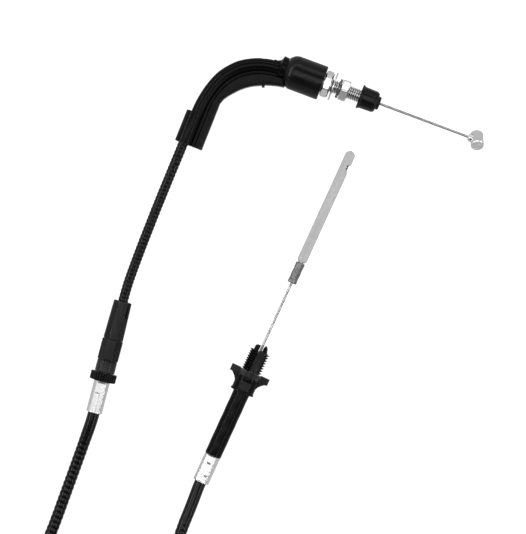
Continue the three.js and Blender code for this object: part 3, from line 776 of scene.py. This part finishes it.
def add_boot():
    """The rubber boot, sagging a little on its spigot, with a short dome down to the elbow's collar."""
    front = bar.span("boot")[1]
    radius = bar.reach("boot")
    bore = 6.5
    mouth = 4.2
    rim = front - 0.9
    outline = eased([
        (BOOT_REAR, mouth), (BOOT_REAR, 7.2), (-29.2, 7.7), (-27.4, 9.3), (-25.0, radius),
        (-16, radius - 0.08), (front, radius), (front, radius - 2.4),
    ], 0.8)
    inner = [(rim, radius - 2.8), (rim, bore), (BOOT_CAVITY, bore)]
    inner += [(BOOT_CAVITY, mouth), (BOOT_REAR, mouth)]
    outer = []
    for (start, first), (end, second) in zip(outline, outline[1:]):
        slope = (second - first) / max(1e-6, end - start)
        outer += [(x, first + slope * (x - start)) for x in stations(start, end, 2.0)[:-1]]
    outer.append(outline[-1])

    def dented(station, reach, angle):
        near_dome = exp(-((station + 24.0) / 3) ** 2)
        return reach - 0.14 * near_dome * (0.5 + 0.5 * cos(3 * angle + 0.6))

    sag = Matrix.Translation((0, -BOOT_DROP, 0))
    boot = turned("boot_skin", bar, outer, inner, 96, dented, sag)
    finished(boot, "root", "boot_rubber", "boot")


HEX_CONE = tan(radians(58))
HEX_LAND = 0.12


def hex_shape(across_flats, low, high, turn=0.0):
    """A hexagon with blunt corners that are turned off at both ends by a cone."""
    inner = across_flats / 2 * 0.97
    corner = across_flats / 2 * 1.13

    def shape(station, radius, angle):
        flat = min(polygon_radius(across_flats, 6, angle, turn), corner)
        from_end = min(station - low, high - station)
        return min(flat, inner + from_end * HEX_CONE)

    return shape


def hex_rows(across_flats, low, high, step):
    """Rows close enough for the cones at both ends of a hexagon."""
    places = (low, *stations(low + HEX_LAND, high - HEX_LAND, step), high)
    return [(station, across_flats) for station in places]


THREAD_BORE = 4.25


def add_adjuster():
    """The threaded adjuster: spigot, hexagon head, collar and a real helical thread."""
    rear, front = bar.span("adjuster_body")
    across = 14
    head_back, head_front, collar_front = -6.6, -2.2, -1.8
    edge = 0.1
    spigot = 5.9
    collar = 7.3
    thread = 3.95
    root = 3.3
    pitch = 1.25
    bore = 1.7
    rows = [(rear, spigot), (head_back, spigot)] + hex_rows(across, head_back, head_front, 0.3)
    rows += [(head_front, collar - edge), (head_front + edge, collar), (collar_front - edge, collar)]
    rows += [(collar_front, collar - edge)]
    rows += [(x, thread) for x in stations(collar_front, front, pitch / 10)]
    hexagon = hex_shape(across, head_back, head_front)

    def shape(station, radius, angle):
        if radius == across:
            return hexagon(station, radius, angle)
        if radius != thread:
            return radius
        phase = (station / pitch - angle / TAU) % 1
        groove = min(1.0, max(0.0, (abs(phase - 0.5) - 0.16) / 0.16))
        run_out = min(1.0, (front - station) / (0.8 * pitch))
        return root + (thread - root) * (1 - groove) * max(0.0, run_out)

    body = turned("adjuster_screw", bar, rows, [(front, bore), (rear, bore)], 96, shape)
    finished(body, "root", "zinc_plate", "adjuster_body")


def add_washers():
    rear, front = bar.span("flat_washer")
    radius = bar.reach("flat_washer")
    hole = [(front, THREAD_BORE), (rear, THREAD_BORE)]
    outer = eased([(rear, THREAD_BORE), (rear, radius), (front, radius), (front, THREAD_BORE)], 0.4)
    washer = turned("washer_disc", bar, outer[1:-1], hole, 96)
    finished(washer, "loose_washer", "zinc_plate", "flat_washer")

    rear, front = bar.span("lock_washer")
    tip = bar.reach("lock_washer")
    root = tip - 0.8
    teeth = 12

    def shape(station, reach, angle):
        if reach < root:
            return reach
        twist = 0.16 * (station - rear) / (front - rear)
        phase = (angle / TAU * teeth + twist) % 1
        rise = eased_step(abs(phase - 0.5), 0.18, 0.3)
        return root + (min(reach, tip) - root) * rise

    edge = 0.15
    hole = [(front, THREAD_BORE), (rear, THREAD_BORE)]
    outer = [(rear, THREAD_BORE + 0.2), (rear, tip - edge), (rear + edge, tip)]
    outer += [(x, tip) for x in stations(rear + 0.4, front - 0.4, 0.2)]
    outer += [(front - edge, tip), (front, tip - edge), (front, THREAD_BORE + 0.2)]
    star = turned("star_washer", bar, outer, hole, 144, shape)
    finished(star, "clamp_washer", "dark_steel", "lock_washer")


def add_jam_nut():
    rear, front = bar.span("jam_nut")
    across = 12
    turn = radians(22)
    sink = 0.5
    hole = [(front, THREAD_BORE + sink), (front - sink, THREAD_BORE)]
    hole += [(rear + sink, THREAD_BORE), (rear, THREAD_BORE + sink)]
    rows = hex_rows(across, rear, front, 0.25)
    nut = turned("jam_nut_hex", bar, rows, hole, 96, hex_shape(across, rear, front, turn))
    finished(nut, "clamp_nut", "zinc_plate", "jam_nut")


def add_dust_cap():
    rear, front = bar.span("dust_cap")
    lip = bar.reach("dust_cap")
    nose_start = front - 1.7
    outline = [
        (rear, 4.6), (rear, lip - 0.4), (rear + 0.3, lip), (rear + 0.9, lip - 0.2), (rear + 1.5, 6.6),
        (rear + 2.2, 6.45), (nose_start - 1.5, 6.3), (nose_start - 0.3, 5.6), (nose_start, 5.0),
        (nose_start, 4.0), (front - 0.4, 3.9), (front, 3.5), (front, 1.3),
    ]
    rim = [(front, 1.15), (rear + 7, 1.15), (rear + 7, 4.3), (rear, 4.3)]

    def shape(station, radius, angle):
        if rear + 2 < station < nose_start - 1 and radius > 6:
            return radius - 0.14 * (0.5 + 0.5 * cos(10 * angle)) ** 3
        return radius

    cap = turned("cap_skin", bar, eased(outline, 0.6), rim, 80, shape)
    finished(cap, "cap", "boot_rubber", "dust_cap")


STRAND_LAY = 13.0
STRAND_WIRES = 12
TIN_RUN_OUT = 3


def strand_radius(station, radius, angle):
    """Outline of a wire strand: its outer wires wind round it, one turn in each lay."""
    wire = 0.2 * radius
    ring = radius - wire
    step = TAU / STRAND_WIRES
    off = (angle - TAU * station / STRAND_LAY + step / 2) % step - step / 2
    inside = max(0.0, wire * wire - (ring * sin(off)) ** 2)
    return ring * cos(off) + sqrt(inside)


def strand(name, axis, start, end, radius, tinned=0.0):
    """A bare stretch of inner wire, its last tinned millimetres smooth."""

    def shape(station, reach, angle):
        smooth = eased_step(station, end - tinned - TIN_RUN_OUT, end - tinned) if tinned else 0.0
        return strand_radius(station, reach, angle) * (1 - smooth) + reach * 0.97 * smooth

    rows = [(x, radius) for x in stations(start, end, 0.45)]
    return turned(name, axis, rows, (), 60, shape)


def add_handlebar_wire():
    start, end = bar.span("handlebar_wire")
    wire = strand("handlebar_strand", bar, start, end, bar.reach("handlebar_wire"), tinned=20)
    finished(wire, "throttle_pull", "strand_steel", "handlebar_wire")


def add_nipple():
    """The barrel nipple, leaning as it was cast on the wire, with a boss where the wire enters."""
    centre = 89.1
    radius = 3.85
    half = 5.0
    lean = Matrix.Translation((centre, 0, 0)) @ Matrix.Rotation(radians(18), 4, "Z")
    lean = lean @ Matrix.Rotation(radians(-45), 4, "X") @ Matrix.Rotation(radians(-90), 4, "Z")
    sunk = 0.14
    chamfer = 0.5
    face = [(-half, 0.01), (-half, 1.5), (sunk - half, 1.7), (sunk - half, 2.3), (-half, 2.5)]
    face += [(-half, radius - chamfer), (chamfer - half, radius)]
    waist = [(-1.3, radius - 0.06), (0, radius - 0.16), (1.3, radius - 0.06)]
    profile = face + waist + [(-x, r) for x, r in reversed(face)]

    def dented(station, reach, angle):
        return reach + 0.035 * sin(5 * angle + 2 * station) * (reach > 2.6)

    barrel = turned("nipple_barrel", bar, profile, (), 72, dented, lean)
    mouth = centre - 5.3
    boss = turned("boss", bar, [(mouth, 1.2), (mouth, 2.0), (mouth + 0.6, 2.4), (centre, 2.4)], (), 48)
    finished(combined(barrel, boss), "throttle_pull", "zinc_plate", "nipple")


# ---- elbow guide

BEND_STATION = -30.5
BEND_RADIUS = 40.0
BEND_SWEEP = radians(88.8)
LEG_LENGTH = 22.6
BEND_LENGTH = BEND_RADIUS * BEND_SWEEP
BEAD_OFFSET = 1.4
BEAD_RADIUS = 3.9
RIM_REACH = 11.3
RIM_HALF = 3.2
SADDLE_LENGTH = 19.3
SOCKET_DEPTH = 12
SOCKET_RADIUS = 4.1
# (place along the elbow, how far the rim stands in from RIM_REACH, how far the bead stands out)
ELBOW_SWELL = [
    (-5, -0.9, 0.2), (5, 0.6, 0.4), (16, 1.4, 1.1), (27, 1.2, 1.5), (38, 0.8, 1.0), (48, -0.4, 0.0),
    (53, -0.5, -0.3), (58, 0.2, -0.3), (66, 0.3, 0.0), (90, 0.3, 0.0),
]


def elbow_swell(along):
    """How far the rim stands in and the bead out at a place along the elbow."""
    for (start, *swell), (end, *next_swell) in zip(ELBOW_SWELL, ELBOW_SWELL[1:]):
        if along <= end:
            return [between(a, b, start, end, along) for a, b in zip(swell, next_swell)]
    return swell


def elbow_frame(along):
    """Point, inward way and forward way of the elbow's path, in the handlebar axis's frame."""
    angle = min(max(along, 0), BEND_LENGTH) / BEND_RADIUS
    point = Vector((
        BEND_STATION - BEND_RADIUS * sin(angle), BEND_RADIUS * (cos(angle) - 1), 0,
    ))
    forward = Vector((-cos(angle), -sin(angle), 0))
    inward = Vector((sin(angle), -cos(angle), 0))
    if along > BEND_LENGTH:
        point += forward * (along - BEND_LENGTH)
    if along < 0:
        point += forward * along
    return point, inward, forward


def elbow_section(along, leg):
    """The moulding's section as (inward, up) for its upper half: a bead, a groove, a ridge, a web and
    a rim. leg is 0 on the bend and 1 on the straight leg, where the web is a narrow deep groove."""
    rim_in, bead_out = elbow_swell(along)
    reach = RIM_REACH + rim_in

    def mix(bend_value, leg_value):
        return bend_value + (leg_value - bend_value) * leg

    bead = BEAD_OFFSET - bead_out
    ridge = mix(5.6 - 0.6 * bead_out, 6.0)
    web = mix(1.3, 0.4)
    rim = reach - mix(1.1, 2.4)
    valley = (bead + 0.9 * BEAD_RADIUS + ridge) / 2
    upper = arc((bead, 0), BEAD_RADIUS, 180, 28, 18)
    upper += [(valley - 0.2, 1.1), (valley + 0.3, 1.1)]
    upper += [(ridge - 0.15, mix(2.0, 2.3)), (ridge + 0.15, mix(2.2, 2.5)), (ridge + 0.5, mix(2.1, 2.4))]
    upper += [(ridge + 0.8, mix(1.6, 1.4)), (ridge + 1.1, web), (rim - 0.5, web)]
    upper += [(rim - 0.3, mix(1.6, 1.4)), (rim - 0.2, 2.5), (rim - 0.1, RIM_HALF - 0.15)]
    upper += [(rim + 0.15, RIM_HALF), (reach - 0.25, RIM_HALF), (reach, RIM_HALF - 0.25)]
    return upper


def elbow_ring(along):
    leg = eased_step(along, BEND_LENGTH - 10, BEND_LENGTH + 1)
    point, inward, _ = elbow_frame(along)
    upper = elbow_section(along, leg)
    lower = [(u, -w) for u, w in reversed(upper)][:-1]
    return [point + inward * u + UP * w for u, w in upper + lower]


def add_elbow():
    start = -3.4
    end = BEND_LENGTH + LEG_LENGTH
    body = loft("elbow_moulding", [elbow_ring(s) for s in stations(start, end, 1.1)], bar.matrix)

    turn = Matrix.Rotation(pi + BEND_SWEEP, 4, "Z")
    leg_start, _, _ = elbow_frame(BEND_LENGTH)
    on_leg = Matrix.Translation(leg_start) @ turn
    saddle_start = LEG_LENGTH - SADDLE_LENGTH
    half = 5.2
    corner = 1.06 * half
    saddle_outline = [(saddle_start, 0.5), (saddle_start, half), (LEG_LENGTH, half), (LEG_LENGTH, 0.5)]

    def squared(station, radius, angle):
        flat = half / max(abs(cos(angle)), abs(sin(angle)))
        return min(radius if radius < half else corner, flat)

    saddle = turned("saddle", bar, eased(saddle_outline, 0.5), (), 64, squared, on_leg)
    neck = cylinder("neck", bar, -38, -17.6, 2.9)
    collar_outline = [
        (-38.0, 2.6), (-35.8, 3.0), (-34.2, 3.9), (-33.4, 5.3), (-33.0, 6.6), (-32.5, 6.8), (-31.6, 6.6),
        (-30.5, 6.5), (BOOT_REAR - 0.2, 6.5), (BOOT_REAR - 0.2, 2.6),
    ]
    collar = turned("collar", bar, eased(collar_outline, 0.3), (), 64)
    tag_point, tag_in, _ = elbow_frame(12.4)
    on_rim = Matrix.Translation(tag_point) @ Matrix.Rotation(atan2(tag_in.y, tag_in.x), 4, "Z")
    tag = block("tag", bar, (11.6, -0.9, -1.3), (13.7, 0.8, 1.3), on_rim)
    combined(body, neck, collar, saddle, tag)

    socket = cylinder("socket", bar, LEG_LENGTH - SOCKET_DEPTH, LEG_LENGTH + 1, SOCKET_RADIUS, 48, on_leg)
    channel = cylinder("channel", bar, -45, -10, 1.7, 32)
    cut(body, socket, channel)
    finished(body, "root", "moulded_black", "elbow_guide")


# ---- in-line adjuster

SLEEVE_FLATS = 8
COLLAR_FLATS = 8


def add_inline_sleeve():
    """The dust sleeve: a taper with long flats and a slot cut from its open end."""
    start, end = mid.span("adjuster_sleeve")
    top, bottom = 5.45, mid.reach("adjuster_sleeve")
    taper = (bottom - top) / (end - start)
    bore, wide_bore = 3.3, 4.7
    step_in = start + 11.5
    edge = 0.3

    def shape(station, radius, angle):
        return min(radius, polygon_radius(2 * radius * 0.955, SLEEVE_FLATS, angle, radians(8)))

    outer = [(start, bore + 0.4), (start, top - edge), (start + edge, top)]
    outer += [(x, top + taper * (x - start)) for x in stations(start + 1, end - 0.6, 1.5)]
    outer += [(end - edge, bottom), (end, bottom - edge)]
    inner = [(end, wide_bore), (step_in, wide_bore), (step_in, bore), (start, bore)]
    sleeve = turned("sleeve_moulding", mid, outer, inner, 96, shape)
    slot_half = 0.7
    on_side = Matrix.Rotation(radians(40), 4, "X")
    slot = block("slot", mid, (-1, 0, -slot_half), (9.2, bottom + 1, slot_half), on_side)
    cut(sleeve, slot)
    finished(sleeve, "barrel", "grey_moulding", "adjuster_sleeve", axis=mid)


def add_inline_barrel():
    """The barrel's faceted grip, hatched on its side facets, and its glossy round neck."""
    rear, end = mid.span("adjuster_barrel")
    collar_start, collar_end = end - 19.6, end - 7.2
    across = 12.0
    corner = 6.42
    neck = 5.85
    shank = 4.75
    edge = 0.35
    step_in = rear + 15

    def shape(station, radius, angle):
        if radius != across:
            return radius
        from_end = min(station - collar_start, collar_end - station)
        hatched = from_end > 0.5 and cos(4 * angle) < 0.1
        hatch = 0.07 * sin(40 * angle + 9 * station) if hatched else 0.0
        flat = min(polygon_radius(across, COLLAR_FLATS, angle), corner)
        return flat - max(0.0, edge - from_end) + hatch

    outer = [(rear, shank), (collar_start, shank), (collar_start, 5.6)]
    outer += [(x, across) for x in stations(collar_start, collar_end, 0.3)]
    outer += [(collar_end, 5.55), (collar_end + 0.25, 5.55), (collar_end + 0.5, neck), (end - 0.4, neck)]
    outer += [(end, neck - 0.4)]
    inner = [(end, 3.3), (step_in, 3.3), (step_in, 4.1), (rear, 4.1)]
    barrel = turned("barrel_moulding", mid, outer, inner, 144, shape)
    finished(barrel, "barrel", "grey_moulding", "adjuster_barrel", axis=mid)


def add_lock_ring():
    start, end = mid.span("lock_ring")
    tip = mid.reach("lock_ring")
    root = tip - 0.55
    teeth = 30

    def shape(station, radius, angle):
        if radius < root:
            return radius
        edge = min(station - start, end - station)
        wave = 0.5 + 0.5 * cos(teeth * angle)
        return min(root + (tip - root) * wave ** 0.6, root + 0.1 + edge * 1.2)

    outer = [(start, 3.8), (start, root - 0.4)]
    outer += [(x, tip) for x in stations(start + 0.05, end - 0.05, 0.3)]
    outer += [(end, root - 0.4), (end, 3.8)]
    ring = turned("knurled_ring", mid, outer, [(end, 3.3), (start, 3.3)], 240, shape)
    finished(ring, "ring", "moulded_black", "lock_ring", axis=mid)


CRIMP_DEPTH = 0.95
CRIMP_EDGE = 0.12


def crimp_shape(start, end, radius, turn, stakes):
    """A tube squeezed flat on two sides. A stake is a groove pressed into it, given by its station, its
    angle, its length along the tube, its width round it and its depth."""

    def shape(station, reach, angle):
        if reach < radius - 0.6:
            return reach
        squeeze = eased_step(station, start - 1.5, start + 1.2)
        squeeze *= 1 - eased_step(station, end - 0.6, end + 1.0)
        flat = polygon_radius(2 * (radius - CRIMP_DEPTH), 2, angle, turn)
        result = reach + (min(reach, flat) - reach) * squeeze
        for place, centre, length, width, depth in stakes:
            off = abs((angle - centre + pi) % TAU - pi) * radius
            groove = max(0.0, 1 - abs(station - place) / (length / 2))
            result -= depth * groove * (1 - eased_step(off, width / 2 - 0.25, width / 2))
        return result

    return shape


def crimped(name, axis, node, radius, inner, turn, stakes):
    """A crimped ferrule. inner is its bore, from its last station back to its first."""
    start, end = axis.span(node)
    outer = [(start, radius - CRIMP_EDGE)]
    outer += [(x, radius) for x in stations(start + CRIMP_EDGE, end - CRIMP_EDGE, 0.22)]
    outer += [(end, radius - CRIMP_EDGE)]
    shape = crimp_shape(start, end, radius, radians(turn), stakes)
    obj = turned(name, axis, outer, inner, 120, shape)
    finished(obj, "root", "zinc_plate", node, axis=axis)


def add_ferrules():
    """The silver ferrules at both ends of the main sheath."""
    start, end = mid.span("ferrule_a")
    step_in = end - 11.4
    inner = [(end, 3.8), (step_in, 3.8), (step_in, 3.3), (start, 3.3)]
    crimped("crimp_a", mid, "ferrule_a", 4.7, inner, 4, [(55.6, radians(-6), 1.1, 2.6, 0.8)])

    start, end = carb.span("ferrule_b")
    stakes = [(-58.9, radians(4), 1.1, 2.6, 0.8), (-66.8, radians(-16), 1.0, 2.2, 0.6)]
    crimped("crimp_b", carb, "ferrule_b", 4.8, [(end, 3.8), (end, 1.9), (start, 1.9)], 6, stakes)


# ---- carburettor end

def flange_outline():
    """The two-winged flange in (side, up)."""
    half, tip, top = 11.8, 3.2, 6.6
    wing = half - tip
    right = arc((wing, 0), tip, -90, 90, 10)
    left = arc((-wing, 0), tip, 90, 270, 10)
    crown = arc((0, 0), top, 56, 124, 12)
    sole = arc((0, 0), top, 236, 304, 12)
    return right + crown + left + sole


def add_snap_fitting():
    rear, front = carb.span("snap_fitting")
    radius = 7.2
    flange_back = front - 4
    flange = extruded("fitting_moulding", carb, flange_outline(), flange_back, front, "YZ")
    collar_outline = eased([
        (rear, 4.0), (rear, radius), (rear + 0.9, radius), (rear + 1.5, 6.75), (flange_back - 2.4, 6.75),
        (flange_back - 1.4, radius - 0.2), (flange_back + 0.3, radius - 0.2), (flange_back + 0.3, 4.0),
    ], 0.4)
    collar = turned("collar", carb, collar_outline, (), 96)
    gusset = [(flange_back + 0.2, -10.4)]
    for k in range(11):
        fall = sin(radians(9 * k))
        gusset.append((flange_back - 0.2 - 4.2 * fall, -6.9 - 3.4 * (1 - fall) ** 1.6))
    gusset += [(x, -y) for x, y in reversed(gusset)]
    fins = extruded("gussets", carb, gusset, -1.3, 1.3)
    tab_back, tab_front, tab_half = flange_back + 0.4, front - 0.001, 3.4
    tabs = [block("tab", carb, (tab_back, inside, -tab_half), (tab_front, inside + 4, tab_half))
            for inside in (-11.9, 7.9)]
    combined(flange, collar, fins, *tabs)

    window = block("window", carb, (rear + 2.0, -3.3, 5.7), (rear + 5.8, 3.3, 9))
    bore = cylinder("bore", carb, rear - 1, front + 1, 1.9, 40)
    socket = cylinder("socket", carb, rear - 1, rear + 4, 5.2, 64)
    seat = block("seat", carb, (front - 0.4, -6.45, -8), (front + 1, 6.45, 8))
    cut(flange, window, bore, socket, seat)
    bevelled(flange, 0.28)
    finished(flange, "root", "moulded_black", "snap_fitting", axis=carb)


PRONG_TIP = 6.1
PRONG_TEETH_LENGTH = 13.0
PRONG_SLOT_HALF = 1.1
COVER_TOP = 3.9


def prong_rows(start, teeth, root):
    """Ratchet rings along a prong."""
    pitch = PRONG_TEETH_LENGTH / teeth
    rows = [(start, 5.2)]
    for k in range(teeth):
        base = start + k * pitch
        rows += [(base + 0.06, root), (base + 0.5 * pitch, PRONG_TIP - 0.25)]
        rows += [(base + 0.62 * pitch, PRONG_TIP), (base + 0.78 * pitch, PRONG_TIP)]
        rows += [(base + 0.94 * pitch, root + 0.1)]
    return rows


def add_left_prong():
    """The round half: fine teeth up to a knob."""
    start, end = carb.span("prong_left")
    shoulder = start + PRONG_TEETH_LENGTH
    knob = 4.1
    rows = prong_rows(start, 9, 5.1)
    rows += [(shoulder, knob), (shoulder + 1.2, knob)]
    rows += arc((end - 1.9, knob - 1.7), 1.7, 90, 12, 5)
    solid = turned("prong_left_toothed", carb, rows, (), 64)
    reach = 9
    low, high = start - 1, end + 1
    half = block("half", carb, (low, PRONG_SLOT_HALF, -reach), (high, reach, reach))
    combined(solid, half, operation="INTERSECT")
    channel = cylinder("channel", carb, low, high, 2.2, 32)
    rebate = block("rebate", carb, (low, 0, 2.1), (shoulder + 1.1, 2.7, COVER_TOP + 0.3))
    cut(solid, channel, rebate)
    bevelled(solid, 0.1, 1, 50)
    finished(solid, "left_prong", "moulded_black", "prong_left", axis=carb)


def add_right_prong():
    """The flat-topped half: coarse teeth, a plate over the wire's channel and a thin pointed tip."""
    start, end = carb.span("prong_right")
    shoulder = start + PRONG_TEETH_LENGTH
    tip = end + 0.6
    rows = prong_rows(start, 8, 4.75)
    rows += [(shoulder, 4.7), (shoulder + 0.5, 4.3), (shoulder + 1.2, 3.95)]
    rows += [(tip - 1.2, 3.5), (tip, 2.5)]
    solid = turned("prong_right_toothed", carb, rows, (), 64)
    reach = 9
    low, high = start - 1, tip + 1
    half = block("half", carb, (low, -reach, -reach), (high, -PRONG_SLOT_HALF, COVER_TOP))
    combined(solid, half, operation="INTERSECT")
    cover_end = shoulder + 0.8
    cover = extruded("cover", carb, [
        (start, -1.8), (cover_end, -1.8), (cover_end, -0.4), (shoulder - 0.3, 1.0), (start, 1.6),
    ], 2.4, COVER_TOP)
    combined(solid, cover)
    channel = cylinder("channel", carb, low, high, 2.2, 32)
    turn = Matrix.Rotation(radians(-19), 4, "Z")
    place = Matrix.Translation((cover_end, -0.5, 0)) @ turn
    inner_slope = block("inner_slope", carb, (0, 0, -reach), (9, 6, reach), place)
    cut(solid, channel, inner_slope)
    bevelled(solid, 0.1, 1, 50)
    finished(solid, "right_prong", "moulded_black", "prong_right", axis=carb)


def add_guide_sleeve():
    """The black sleeve behind the fitting, a little flat on top and not quite round."""
    start, end = carb.span("guide_sleeve")
    radius = carb.reach("guide_sleeve")
    top_flat = 4.7

    def shape(station, reach, angle):
        swell = 0.04 * sin(station * 0.6 + 2 * angle) + 0.03 * cos(5 * angle)
        flat = top_flat / max(0.1, abs(cos(angle)))
        return min(reach, flat) + swell * (reach > 4)

    outer = [(start, radius - 0.3), (start + 0.3, radius)]
    outer += [(x, radius) for x in stations(start + 1.5, end, 1.2)]
    sleeve = turned("guide_sleeve_skin", carb, outer, [(end, 1.9), (start, 1.9)], 72, shape)
    finished(sleeve, "root", "moulded_black", "guide_sleeve", axis=carb)


def add_carburettor_wire():
    start, end = carb.span("carburettor_wire")
    wire = strand("carburettor_strand", carb, start, end, carb.reach("carburettor_wire"))
    finished(wire, "rod_pull", "strand_steel", "carburettor_wire")


def add_rod_ferrule():
    """Hexagonal crimp that holds the wire and the rod's tang, its mouth pinched round the wire."""
    start, end = carb.span("rod_ferrule")
    across = 5.0

    def shape(station, radius, angle):
        if radius != across:
            return radius
        flat = polygon_radius(across, 6, angle, radians(14))
        edge = min(station - start, end - station)
        pinch = 0.16 * exp(-((station - start - 3.2) / 1.1) ** 2)
        pinch += 0.16 * exp(-((station - end + 4.2) / 1.3) ** 2)
        return min(flat, 2.72) - max(0, 0.4 - edge) * 0.8 - pinch

    outer = [(start, 1.5)] + [(x, across) for x in stations(start, end, 0.3)] + [(end, 1.9)]
    ferrule = turned("rod_crimp", carb, outer, [(end, 1.8), (start + 8, 1.05), (start, 1.05)], 96, shape)
    finished(ferrule, "rod_pull", "dark_steel", "rod_ferrule")


def add_pull_rod():
    """The flat bar: chamfered long edges, a round end, a shallow notch and two pits beside it."""
    start, end = carb.span("pull_rod")
    shoulder = start + 3.4
    half = 2.9
    notch_depth = 0.9
    notch_end = end - 8.2
    notch_start = notch_end - 5.0
    outline = [(shoulder, 0), (shoulder, -half + 0.9), (shoulder + 1.4, -half)]
    outline += [(notch_start, -half), (notch_start + 1.6, notch_depth - half)]
    outline += [(notch_end, notch_depth - half), (notch_end, -half)]
    outline += arc((end - half, 0), half, -90, 90, 16)
    outline += [(shoulder + 1.4, half), (shoulder, half - 0.9)]
    plate = extruded("pull_rod_bar", carb, outline, -1.5, 1.5)
    bevelled(plate, 0.85, 1, 50)
    tang = cylinder("tang", carb, start, shoulder + 1, 1.5, 32)
    combined(plate, tang)
    upright = Matrix.Rotation(-pi / 2, 4, "Y")
    for x, y in ((notch_end - 0.9, -1.5), (notch_end - 2.4, -1.6)):
        place = Matrix.Translation((x, y, 0.1)) @ upright
        cut(plate, turned("pit", carb, [(0, 0.6), (3, 0.64)], (), 24, None, place))
    finished(plate, "rod_pull", "rod_grey", "pull_rod")


# ---- making it all

add_upper_sheath()
ties = [coil_tie(number + 1, angle) for number, angle in enumerate(TIE_ANGLES)]
add_main_sheath()

add_boot()
add_adjuster()
add_washers()
add_jam_nut()
add_dust_cap()
add_handlebar_wire()
add_nipple()
add_elbow()

add_inline_sleeve()
add_inline_barrel()
add_lock_ring()
add_ferrules()

add_snap_fitting()
add_left_prong()
add_right_prong()
add_guide_sleeve()
add_carburettor_wire()
add_rod_ferrule()
add_pull_rod()

# What stays as the CAD made it gets its finish
for subpart in frame["record"]["subparts"]:
    node = frame["nodes"][subpart["node"]]
    if not node.hide_render:
        node.data.materials.clear()
        node.data.materials.append(material_for(subpart["material_slot"]))
